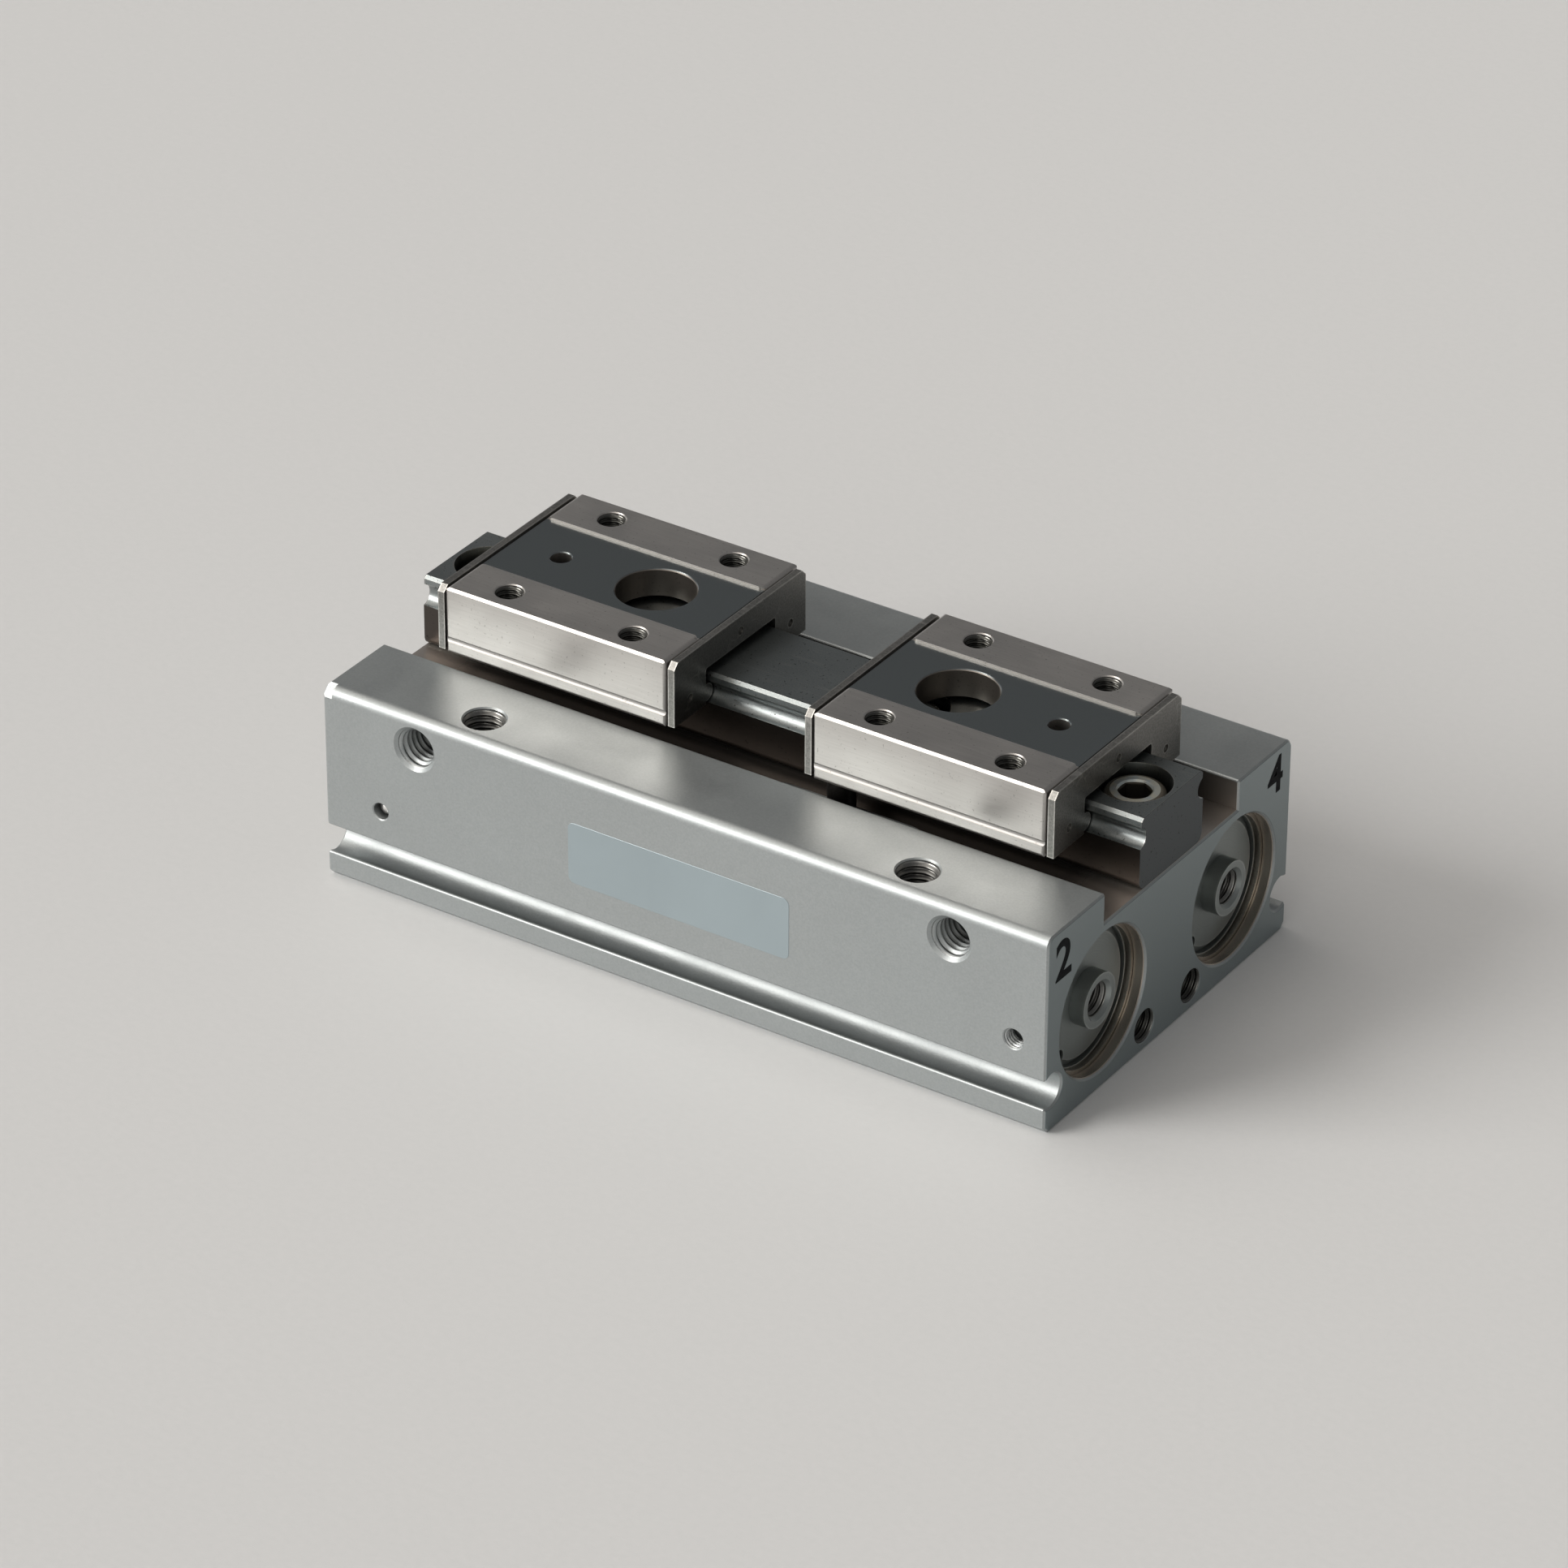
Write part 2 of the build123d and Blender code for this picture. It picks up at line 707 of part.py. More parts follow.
def piston_magnets(hand):
    return piston_ring(-hand, magnet_from_end, magnet_width, bore_radius - magnet_depth, piston_radius)


def guide_rings(hand):
    inner = bore_radius - guide_ring_depth
    return piston_ring(-hand, guide_ring_from_end, guide_ring_width, inner, bore_radius - seal_play)


def piston_bumpers(hand):
    bumpers = []
    for end in (-1, 1):
        start = (end * (piston_length / 2 - bumper_seat), -hand * bore_y, bore_height)
        bumpers.append(rod(bumper_radius, start, (end, 0, 0), bumper_seat + bumper_stand))
    return bumpers


def polar(radius, angle):
    return (radius * math.cos(angle), radius * math.sin(angle))


def pinion():
    """Spur gear with involute flanks, each drawn as an arc through three of its points."""
    base = pitch_radius * math.cos(math.radians(pressure_angle))
    tip = pitch_radius + gear_module - tip_relief
    root = pitch_radius - gear_module - tooth_clearance

    def involute(radius):
        spread = math.sqrt(max((radius / base) ** 2 - 1, 0))
        return spread - math.atan(spread)

    half_tooth = math.pi / (2 * gear_teeth) - flank_play / pitch_radius
    flank_radii = [base, (base + tip) / 2, tip]
    flank = [(radius, half_tooth + involute(pitch_radius) - involute(radius)) for radius in flank_radii]
    step = 2 * math.pi / gear_teeth
    edges = []
    for index in range(gear_teeth):
        middle = index * step
        rise = [polar(radius, middle - angle) for radius, angle in flank]
        fall = [polar(radius, middle + angle) for radius, angle in reversed(flank)]
        foot_in = polar(root, middle - flank[0][1])
        foot_out = polar(root, middle + flank[0][1])
        next_foot = polar(root, middle + step - flank[0][1])
        edges.append(Line(foot_in, rise[0]))
        edges.append(ThreePointArc(*rise))
        edges.append(ThreePointArc(rise[2], polar(tip, middle), fall[0]))
        edges.append(ThreePointArc(*fall))
        edges.append(Line(fall[2], foot_out))
        edges.append(ThreePointArc(foot_out, polar(root, middle + step / 2), next_foot))
    gear = extrude(make_face(edges), gear_width)
    return Pos(0, 0, pinion_floor) * gear - rod(eye_radius, (0, 0, pinion_floor), UP, gear_width)


def needle_rollers():
    floor = pinion_floor + needle_end_play
    length = gear_width - 2 * needle_end_play
    count = int(2 * math.pi * needle_orbit / (2 * needle_radius + needle_gap))
    places = [polar(needle_orbit, 2 * math.pi * index / count) for index in range(count)]
    return [rod(needle_radius, (x, y, floor), UP, length) for x, y in places]


def pinion_pin():
    bottom = pocket_floor - pinion_pin_seat
    return rod(pinion_pin_radius, (0, 0, bottom), UP, boss_floor + pinion_pin_seat - bottom)


def thrust_washers():
    inner = pinion_pin_radius + needle_play
    floors = (pocket_floor, boss_floor - washer_thickness)
    return [tube(washer_radius, inner, (0, 0, floor), UP, washer_thickness) for floor in floors]


def pinion_cover():
    """Disc let into the channel floor under the rail, with a boss that holds the pin."""
    cover = rod(cover_radius - cover_fit, (0, 0, channel_floor), DOWN, cover_thickness)
    boss_height = channel_floor - cover_thickness - boss_floor
    cover += rod(washer_radius + cover_boss_rim, (0, 0, boss_floor), UP, boss_height)
    return cover - rod(pinion_pin_radius, (0, 0, boss_floor), UP, pinion_pin_seat)


def finger_nodes(name, hand):
    """Everything that travels with one finger, by node name."""
    inner_face = finger_inner_x
    outer_face = finger_inner_x + finger_length
    holes = rivet_holes(hand)
    wiper = plate_section(wiper_inset)
    plate = plate_section(0)
    nodes = {
        "finger": finger(hand),
        "inner_wiper": end_plate(hand, inner_face, wiper, wiper_thickness, holes),
        "outer_wiper": end_plate(hand, outer_face, wiper, wiper_thickness, holes),
        "inner_end_plate": end_plate(hand, inner_face - wiper_thickness, plate, plate_thickness, holes),
        "outer_end_plate": end_plate(hand, outer_face + wiper_thickness, plate, plate_thickness, holes),
        "plate_rivets": plate_rivets(hand),
        "guide_balls": guide_balls(hand),
        "drive_pin": drive_pin(hand),
        "piston": piston(hand),
        "piston_seals": piston_seals(hand),
        "piston_magnets": piston_magnets(hand),
        "piston_guide_rings": guide_rings(hand),
        "piston_bumpers": piston_bumpers(hand),
    }
    return {f"{name}_{key}": value for key, value in nodes.items()}


def all_nodes():
    nodes = {"housing": housing(), "guide_rail": guide_rail()}
    nodes["rail_screws"] = [rail_screw(x) for x in screw_places]
    seal_radius = recess_radius - seal_play
    corners = [(side, end) for side in (-1, 1) for end in (-1, 1)]
    for side, end in corners:
        name = ("near" if side < 0 else "far") + ("_left" if end < 0 else "_right")
        nodes[f"{name}_end_cap"] = end_cap(side, end)
    nodes["cap_seals"] = [cap_seal_ring(side, end, seal_radius) for side, end in corners]
    nodes["retaining_rings"] = [retaining_ring(side, end) for side, end in corners]
    nodes["plug_balls"] = [plug_ball(-1), plug_ball(1)]
    nodes["pinion"] = pinion()
    nodes["needle_rollers"] = needle_rollers()
    nodes["pinion_pin"] = pinion_pin()
    nodes["thrust_washers"] = thrust_washers()
    nodes["pinion_cover"] = pinion_cover()
    nodes.update(finger_nodes("right", 1))
    nodes.update(finger_nodes("left", -1))
    return nodes


def write_parts():
    os.makedirs("parts", exist_ok=True)
    for name, shape in all_nodes().items():
        solids = shape if isinstance(shape, list) else [shape]
        whole = Compound([solid for item in solids for solid in item.solids()])
        export_step(whole, f"parts/{name}.step")


if __name__ == "__main__":
    write_parts()
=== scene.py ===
import bmesh
import bpy
import json
import math
import numpy as np
from mathutils import Matrix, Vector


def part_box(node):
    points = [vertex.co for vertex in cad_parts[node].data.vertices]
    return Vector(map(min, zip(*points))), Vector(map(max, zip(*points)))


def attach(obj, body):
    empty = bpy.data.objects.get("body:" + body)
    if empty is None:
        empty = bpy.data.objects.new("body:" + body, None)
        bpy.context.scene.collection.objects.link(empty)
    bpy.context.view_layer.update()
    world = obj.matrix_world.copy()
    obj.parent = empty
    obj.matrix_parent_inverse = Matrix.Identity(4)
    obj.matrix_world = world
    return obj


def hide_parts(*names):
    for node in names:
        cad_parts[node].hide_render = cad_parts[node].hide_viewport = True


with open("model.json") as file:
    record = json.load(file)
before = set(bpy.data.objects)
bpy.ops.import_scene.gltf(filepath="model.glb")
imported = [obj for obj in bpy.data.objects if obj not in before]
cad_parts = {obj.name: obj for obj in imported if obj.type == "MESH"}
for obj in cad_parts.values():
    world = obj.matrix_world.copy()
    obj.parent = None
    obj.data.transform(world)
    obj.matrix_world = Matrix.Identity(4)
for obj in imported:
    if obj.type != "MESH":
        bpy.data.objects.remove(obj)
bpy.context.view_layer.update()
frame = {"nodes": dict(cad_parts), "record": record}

MM = 0.001
TURN = 2 * math.pi

# Camera, as it stood for the photograph, in metres and unit vectors; lens and sensor in millimetres
CAMERA_PLACE = (0.486349, -0.739578, 0.553282)
CAMERA_RIGHT = (0.83268, 0.55375, 0.00326)
CAMERA_DOWN = (0.28857, -0.42887, -0.85604)
CAMERA_FORWARD = (-0.47263, 0.71374, -0.51691)
LENS = 173.409
SENSOR = 36.0
CLIPPING = (0.01, 50.0)

# Lamps: name, direction towards the lamp, strength, width in degrees, colour
LAMPS = (
    ("key", (-0.62, -0.66, 0.42), 2.6, 34, (1.0, 0.97, 0.93)),
    ("overhead", (-0.42, -0.20, 0.88), 1.0, 60, (1.0, 0.93, 0.85)),
    ("fill", (0.30, -0.80, 0.52), 0.45, 40, (1.0, 0.96, 0.90)),
)

# Studio: the wall's brighter side, the span over which it brightens, its shades, the heights over which it
# passes into the ceiling, the ceiling's shade, and the floor
BRIGHT_SIDE = (-0.8, -0.6, 0.0)
BRIGHT_SPAN = (-0.5, 0.6)
WALL_SHADES = (0.22, 0.85)
WALL_TOP = (0.12, 0.36)
CEILING_SHADE = 0.17
FLOOR_HALF = 6.0
FLOOR_COLOURS = ((0.66, 0.67, 0.675, 1), (0.70, 0.705, 0.71, 1))
FLOOR_GRAIN_SCALE = 900.0
FLOOR_ROUGHNESS = (0.6, 0.7)
FLOOR_DEPTH = 0.02 * MM

# Threads: nominal radius and pitch
M3 = (1.5 * MM, 0.5 * MM)
M4 = (2.0 * MM, 0.7 * MM)
M5 = (2.5 * MM, 0.8 * MM)
M6 = (3.0 * MM, 1.0 * MM)
THREAD_DEPTH_SHARE = 0.54
THREAD_BACKING = 0.03 * MM
FLANK_STEEPNESS = 1.25
FLANK_SHIFT = 0.05
FADE_IN_PITCHES = 0.8
FADE_OUT_PITCHES = 0.5
STEPS_ROUND = 44
STEPS_PER_PITCH = 8

# Mouths of the threaded holes, and the depths at which each thread starts and ends
TOP_HOLE = (35.0 * MM, 26.0 * MM, 30.4 * MM)
TOP_THREAD = (0.2 * MM, 7.4 * MM)
SIDE_HOLE = (43.2 * MM, 31.2 * MM, 25.3 * MM)
SIDE_THREAD = (0.45 * MM, 8.4 * MM)
SET_HOLE = (53.4 * MM, 31.2 * MM, 13.4 * MM)
SET_THREAD = (0.15 * MM, 2.5 * MM)
PORT = (58.5 * MM, 6.0 * MM, 3.72 * MM)
PORT_THREAD = (0.1 * MM, 7.9 * MM)
CAP_HOLE = (57.9 * MM, 16.9 * MM, 13.4 * MM)
CAP_THREAD = (0.5 * MM, 4.7 * MM)
FINGER_HOLE_PITCH = (20.5 * MM, 24.5 * MM)
FINGER_THREAD = (0.15 * MM, 5.4 * MM)
FINGER_CENTRE = 30.15 * MM
FINGER_TOP = 42.05 * MM

# Bare label on the near side: its rings are (inset from the rim, height in thicknesses)
LABEL_X = (-17.65 * MM, 18.13 * MM)
LABEL_Z = (13.1 * MM, 22.6 * MM)
LABEL_CORNER = 1.0 * MM
LABEL_CORNER_POINTS = 8
LABEL_THICKNESS = 0.05 * MM
LABEL_RINGS = ((0, -0.2), (0, 0.6), (0.03 * MM, 1.0), (0.3 * MM, 1.0))

# Plain figures on the port end: text, y, z and height; the type size is in heights
FIGURES = (("2", -27.3 * MM, 25.4 * MM, 5.9 * MM), ("4", 27.0 * MM, 26.0 * MM, 5.6 * MM))
FIGURE_DEPTH = 0.02 * MM
FIGURE_WEIGHT = 0.17 * MM
TYPE_SIZE = 1.4

# Rail screws: places along the rail, heights of tip, seat and top face, then radii and small lengths
SCREW_PLACES = (-52.4 * MM, -17.4 * MM, 17.4 * MM, 52.4 * MM)
SCREW_TIP = 16.8 * MM
SCREW_SEAT = 30.7 * MM
SCREW_TOP = 35.7 * MM
SCREW_HEAD = 4.25 * MM
SCREW_SHANK = 2.48 * MM
SCREW_ROUNDING = 0.8 * MM
SOCKET_FLAT = 2.0 * MM
SOCKET_DEPTH = 2.5 * MM
SOCKET_MOUTH = 2.5 * MM
SOCKET_CONE = (1.6 * MM, 0.4 * MM)
SOCKET_LEAD = 0.45 * MM
SOCKET_LIP = (0.05 * MM, 0.06 * MM)
SEAT_CHAMFER = 0.15 * MM
TIP_CHAMFER = 0.4 * MM
CENTRE_GAP = 0.05 * MM
ROUNDING_STEPS = 7
SCREW_POINTS = 96

# Places where a surface has another finish, or has painted shade, shadow or reflection
STRIP_EDGE = 7.9 * MM
STRIP_HEIGHT = (41.55 * MM, 41.85 * MM)
STRIP_STEP = (7.86 * MM, 7.94 * MM)
STRIP_STEP_HEIGHT = (41.72 * MM, 42.04 * MM)
SIDE_GROOVE_EDGE = 16.17 * MM
SIDE_GROOVE_HEIGHT = (33.62 * MM, 34.38 * MM)
CHANNEL_EDGE = 17.12 * MM
CHANNEL_HEIGHT = (25.75 * MM, 30.2 * MM)
SHADOW_FADE = (48.5 * MM, 58.0 * MM)
BODY_END = 58.45 * MM
RAIL_END = 58.15 * MM
BORE_AXIS = (16.9 * MM, 13.4 * MM)
RECESS_RADIUS = (10.6 * MM, 10.8 * MM)
RECESS_START = 50.0 * MM
SOCKET_REACH = 2.36 * MM
SOCKET_SHADE_TOP = 35.45 * MM
SCREW_RIM = (3.4 * MM, 4.4 * MM)
RAIL_FLANK = 7.6 * MM
RAIL_FOOT_TOP = 32.25 * MM
WINDOW_X = 24.5 * MM
WINDOW_REACH = 5.75 * MM

# Ranges that several layers are spread over, and how a noise is drawn out along each axis
NOISE_BAND = (0.3, 0.7)
WHOLE = (0.0, 1.0)
FALLING = (1.0, 0.0)
ALONG = (0.04, 1.0, 1.0)
EVEN = (1.0, 1.0, 1.0)

# Edges (lightened partly by rubbing, partly as a painted highlight), hollows and the insides of holes
# (painted shade): rays, how far each looks, and the open share over which it sets in
EDGE_RAYS = 6
EDGE_REACH = 0.5 * MM
EDGE_BAND = (0.12, 0.5)
HOLLOW_REACH = 0.8 * MM
HOLLOW_BAND = (0.3, 0.95)
DEEP_REACH = 10.0 * MM
DEEP_BAND = (0.12, 0.4)
BREAK_UP_SCALE = 900.0
BREAK_UP_BAND = (0.3, 0.6)
BREAK_UP_SHARE = (0.7, 1.15)

# Noises: scales per metre, and the band of values that shows
GRAIN_SCALE = 4000.0
SCRATCH_SCALE = 300.0
SCRATCH_STRETCH = (0.05, 1.0, 1.0)
SCRATCH_MIDDLE = 0.5
SCRATCH_WIDTH = 0.012
SCRATCH_PATCH_SCALE = 160.0
SCRATCH_PATCH_BAND = (0.5, 0.65)
PIT_SCALE = 2400.0
PIT_BAND = (0.68, 0.74)
SMUDGE_SCALE = 70.0
SMUDGE_BAND = (0.35, 0.7)
TINT_SCALE = 420.0
RING_SCALE = 9000.0

# Metals: the strength of each layer; a swing is how far smudges lower and raise the roughness
ROUGHNESS_SWING = (-0.04, 0.06)
GRAIN_SHARE = 0.2
GRAIN_ROUGHNESS = 0.08
HOLLOW_SHARE = 0.18
# share of the painted shade far inside holes
DEEP_SHARE = 0.85
EDGE_POLISH = 0.1
PIT_DEPTH = 3.0

# Turned metal
TURNED_REACH = 0.4 * MM
TURNED_SWING = (-0.05, 0.1)
TURNED_SMUDGE_SCALE = 140.0
TURNED_HOLLOW_SHARE = 0.15
# how strongly turned edges lighten, partly rubbed bright and partly a painted highlight
TURNED_WEAR_AND_GLINT = 0.6
TURNED_METALLIC = 0.9
RING_SHARE = 0.15
RING_DEPTH = 0.002 * MM

# Rubber, plastic and print: dust, which is value * gain + lift, and how far the skin changes the roughness
DUST_SCALE = 200.0
DUST_GAIN = 1.6
DUST_LIFT = 0.02
DUST_SHARE = 0.5
SKIN_SWING = 0.08

# Label film
FILM_COLOUR = (0.29, 0.345, 0.37)
FILM_LIFT = 1.06
FILM_MOTTLE_SCALE = 45.0
FILM_GRAIN_SCALE = 2500.0
FILM_ROUGHNESS = (0.3, 0.42)
FILM_DEPTH = 0.002 * MM
FILM_METALLIC = 0.35

NEAR_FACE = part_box("housing")[0][1]
PORT_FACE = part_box("housing")[1][0]


def skin(name, rings, closed=False):
    """Mesh through rings of points, each ring closed; the ends are capped, or joined when closed is true.

    rings is an array of (ring, point, xyz). Faces join each point to the next point and the next ring."""
    count, around = rings.shape[:2]
    ring = np.arange(count if closed else count - 1)[:, None]
    point = np.arange(around)[None, :]
    after_ring = (ring + 1) % count
    after_point = (point + 1) % around
    corners = [
        ring * around + point,
        ring * around + after_point,
        after_ring * around + after_point,
        after_ring * around + point,
    ]
    faces = np.stack([np.broadcast_to(corner, (ring.size, around)) for corner in corners], axis=-1)
    faces = faces.reshape(-1, 4).tolist()
    if not closed:
        faces.append(list(range(around)))
        faces.append(list(range((count - 1) * around, count * around)))
    mesh = bpy.data.meshes.new(name)
    mesh.from_pydata(rings.reshape(-1, 3).tolist(), [], faces)
    made = bmesh.new()
    made.from_mesh(mesh)
    bmesh.ops.recalc_face_normals(made, faces=made.faces)
    made.to_mesh(mesh)
    made.free()
    piece = bpy.data.objects.new(name, mesh)
    bpy.context.scene.collection.objects.link(piece)
    return piece


def smooth(piece):
    """Shades a piece as one curved face."""
    piece.data.polygons.foreach_set("use_smooth", np.ones(len(piece.data.polygons), dtype=bool))
    return piece


def across(direction):
    """Two unit vectors square to a direction and to each other."""
    direction = np.asarray(direction, dtype=float)
    helper = np.array([0.0, 0.0, 1.0]) if abs(direction[2]) < 0.9 else np.array([1.0, 0.0, 0.0])
    first = np.cross(direction, helper)
    first /= np.linalg.norm(first)
    return first, np.cross(direction, first)


def thread(name, mouth, inward, size, span):
    """Helical thread that lines a hole over a span of depths.

    Over an angle a and a depth s the radius is the hole's radius less the ridge height times a triangle wave
    of s / pitch - a / turn; the ridge grows from nothing at the mouth and fades at the bottom. A second,
    plain wall just behind closes the sleeve."""
    start, depth = span
    radius, pitch = size
    steps = int(round((depth - start) / pitch * STEPS_PER_PITCH))
    along = np.linspace(start, depth, steps)[:, None]
    angle = np.linspace(0, TURN, STEPS_ROUND, endpoint=False)[None, :]
    wave = 1 - np.abs(2 * ((along / pitch - angle / TURN) % 1.0) - 1)
    wave = np.clip(FLANK_STEEPNESS * wave - FLANK_SHIFT, 0, 1)
    fade_in = np.clip((along - start) / (FADE_IN_PITCHES * pitch), 0, 1)
    fade = fade_in * np.clip((depth - along) / (FADE_OUT_PITCHES * pitch), 0, 1)
    inner = radius + THREAD_BACKING / 2 - THREAD_DEPTH_SHARE * pitch * wave * fade
    outer = np.full((2, STEPS_ROUND), radius + 2 * THREAD_BACKING)
    radii = np.vstack([inner, outer])
    depths = np.vstack([np.broadcast_to(along, inner.shape), [[depth], [start]] * np.ones((2, STEPS_ROUND))])
    depths = depths[..., None] * np.asarray(inward, dtype=float)
    first, second = across(inward)
    spokes = np.cos(angle)[..., None] * first + np.sin(angle)[..., None] * second
    points = np.asarray(mouth) + radii[..., None] * spokes + depths
    return smooth(skin(name, points, closed=True))


def mirrored(place, side, end=1):
    """The same place on the given side (sign of y) and end (sign of x)."""
    x, y, z = place
    return end * x, side * y, z


def housing_threads():
    """Sleeves in every threaded hole of the housing and its caps."""
    down = (0, 0, -1)
    sleeves = []
    for side, side_name in ((-1, "near"), (1, "far")):
        inward = (0, -side, 0)
        for end, end_name in ((-1, "left"), (1, "right")):
            quarter = f"{side_name}_{end_name}"
            top, flank, cap = (mirrored(hole, side, end) for hole in (TOP_HOLE, SIDE_HOLE, CAP_HOLE))
            sleeves += [
                thread(f"top_thread_{quarter}", top, down, M6, TOP_THREAD),
                thread(f"side_thread_{quarter}", flank, inward, M6, SIDE_THREAD),
                thread(f"cap_thread_{quarter}", cap, (-end, 0, 0), M5, CAP_THREAD),
            ]
        sleeves += [
            thread(f"set_thread_{side_name}", mirrored(SET_HOLE, side), inward, M3, SET_THREAD),
            thread(f"port_thread_{side_name}", mirrored(PORT, side), (-1, 0, 0), M5, PORT_THREAD),
        ]
    return sleeves


def finger_threads(hand, name):
    """The four sleeves of one finger."""
    sleeves = []
    for along, along_name in ((-0.5, "inner"), (0.5, "outer")):
        for side, side_name in ((-0.5, "near"), (0.5, "far")):
            x = hand * (FINGER_CENTRE + along * FINGER_HOLE_PITCH[0])
            y = side * FINGER_HOLE_PITCH[1]
            title = f"{name}_thread_{side_name}_{along_name}"
            sleeves.append(thread(title, (x, y, FINGER_TOP), (0, 0, -1), M4, FINGER_THREAD))
    return sleeves


def rail_screw(name, x):
    """Socket head screw, turned about an upright line at x.

    A profile of (radius, height, hexagon) runs from the socket's floor over the head and down to the tip.
    Where hexagon is 1, the radius at an angle a is flat / cos(a folded into 30 degrees either side of a
    flat), and the mouth passes from that hexagon to a circle."""
    rounding = np.linspace(0, math.pi / 2, ROUNDING_STEPS)
    socket_floor = SCREW_TOP - SOCKET_DEPTH
    profile = [
        (CENTRE_GAP, socket_floor - SOCKET_CONE[1], 0),
        (SOCKET_CONE[0], socket_floor, 0),
        (SOCKET_FLAT, socket_floor, 1),
        (SOCKET_FLAT, SCREW_TOP - SOCKET_LEAD, 1),
        (SOCKET_MOUTH - SOCKET_LIP[0], SCREW_TOP - SOCKET_LIP[1], 0),
        (SOCKET_MOUTH + SOCKET_LIP[0], SCREW_TOP, 0),
    ]
    edge = SCREW_HEAD - SCREW_ROUNDING
    profile += [
        (edge + SCREW_ROUNDING * math.sin(turn), SCREW_TOP - SCREW_ROUNDING * (1 - math.cos(turn)), 0)
        for turn in rounding
    ]
    profile += [
        (SCREW_HEAD, SCREW_SEAT + SEAT_CHAMFER, 0),
        (SCREW_HEAD - SEAT_CHAMFER, SCREW_SEAT, 0),
        (SCREW_SHANK, SCREW_SEAT, 0),
        (SCREW_SHANK, SCREW_TIP + TIP_CHAMFER, 0),
        (SCREW_SHANK - TIP_CHAMFER, SCREW_TIP, 0),
    ]
    radius, height, six = (column[:, None] for column in np.array(profile).T)
    angle = np.linspace(0, TURN, SCREW_POINTS, endpoint=False)[None, :]
    folded = (angle + math.pi / 6) % (math.pi / 3) - math.pi / 6
    radii = radius * (1 + six * (1 / np.cos(folded) - 1))
    points = np.stack([x + radii * np.cos(angle), radii * np.sin(angle), height + 0 * radii], axis=-1)
    return skin(name, points)


def rounded_outline(x_range, z_range, corner):
    """Rectangle with round corners: four quarter circles joined by straight runs, as (x, z) pairs."""
    turns = np.linspace(0, math.pi / 2, LABEL_CORNER_POINTS)
    centres = [
        (x_range[1] - corner, z_range[1] - corner, 0),
        (x_range[0] + corner, z_range[1] - corner, 1),
        (x_range[0] + corner, z_range[0] + corner, 2),
        (x_range[1] - corner, z_range[0] + corner, 3),
    ]
    parts = []
    for x, z, quarter in centres:
        angle = turns + quarter * math.pi / 2
        parts.append(np.stack([x + corner * np.cos(angle), z + corner * np.sin(angle)], axis=-1))
    return np.concatenate(parts)


def bare_label():
    """Thin film with a softened rim, flat on the near side."""
    rings = []
    for inset, stand in LABEL_RINGS:
        x_range = (LABEL_X[0] + inset, LABEL_X[1] - inset)
        z_range = (LABEL_Z[0] + inset, LABEL_Z[1] - inset)
        outline = rounded_outline(x_range, z_range, LABEL_CORNER - inset)
        depth = np.full((len(outline), 1), NEAR_FACE - stand * LABEL_THICKNESS)
        rings.append(np.hstack([outline[:, :1], depth, outline[:, 1:]]))
    return skin("bare_label", np.array(rings))


def figure(text, y, z, height):
    """Plain printed figure on the port end, upright and facing along +X."""
    curve = bpy.data.curves.new(f"figure_{text}", "FONT")
    curve.body = text
    curve.align_x = "CENTER"
    curve.align_y = "CENTER"
    curve.size = height * TYPE_SIZE
    curve.extrude = FIGURE_DEPTH
    curve.offset = FIGURE_WEIGHT
    stand_in = bpy.data.objects.new("stand_in", curve)
    bpy.context.scene.collection.objects.link(stand_in)
    bpy.context.view_layer.update()
    mesh = bpy.data.meshes.new_from_object(stand_in)
    bpy.data.objects.remove(stand_in)
    mesh.name = f"figure_{text}"
    facing = Matrix(((0, 0, 1, PORT_FACE), (1, 0, 0, y), (0, 1, 0, z), (0, 0, 0, 1)))
    mesh.transform(facing)
    piece = bpy.data.objects.new(f"figure_{text}", mesh)
    bpy.context.scene.collection.objects.link(piece)
    return piece


def add(tree, kind, inputs=None, **settings):
    """New node whose settings and inputs are given by name; an input is a value or another node's output."""
    node = tree.nodes.new(kind)
    for key, value in settings.items():
        setattr(node, key, value)
    for key, value in (inputs or {}).items():
        if isinstance(value, bpy.types.NodeSocket):
            tree.links.new(value, node.inputs[key])
        else:
            node.inputs[key].default_value = value
    return node


def maths(tree, operation, first, second=None, clamp=False):
    """Result of one or two values."""
    inputs = {0: first} if second is None else {0: first, 1: second}
    return add(tree, "ShaderNodeMath", inputs, operation=operation, use_clamp=clamp).outputs[0]


def blend(tree, share, first, second):
    """Colour between two colours."""
    inputs = {0: share, 6: first, 7: second}
    return add(tree, "ShaderNodeMix", inputs, data_type="RGBA").outputs[2]


def spread(tree, value, source, target=WHOLE):
    """Maps the source range onto the target range, and holds it there."""
    inputs = {0: value, 1: source[0], 2: source[1], 3: target[0], 4: target[1]}
    return add(tree, "ShaderNodeMapRange", inputs).outputs[0]


def new_group(name, inputs, outputs):
    """Empty node group; inputs holds each input's value by its name, and outputs names the outputs."""
    group = bpy.data.node_groups.new(name, "ShaderNodeTree")
    for title, value in inputs.items():
        kind = "NodeSocketVector" if isinstance(value, tuple) else "NodeSocketFloat"
        group.interface.new_socket(name=title, in_out="INPUT", socket_type=kind).default_value = value
    for title in outputs:
        group.interface.new_socket(name=title, in_out="OUTPUT", socket_type="NodeSocketFloat")
    source = group.nodes.new("NodeGroupInput")
    target = group.nodes.new("NodeGroupOutput")
    return group, source.outputs, target.inputs


def shelter(tree, reach, inside=False):
    """Open share of the directions around a point, outside the surface or inside it."""
    settings = {"samples": EDGE_RAYS, "inside": inside, "only_local": True}
    return add(tree, "ShaderNodeAmbientOcclusion", {"Distance": reach}, **settings).outputs["AO"]


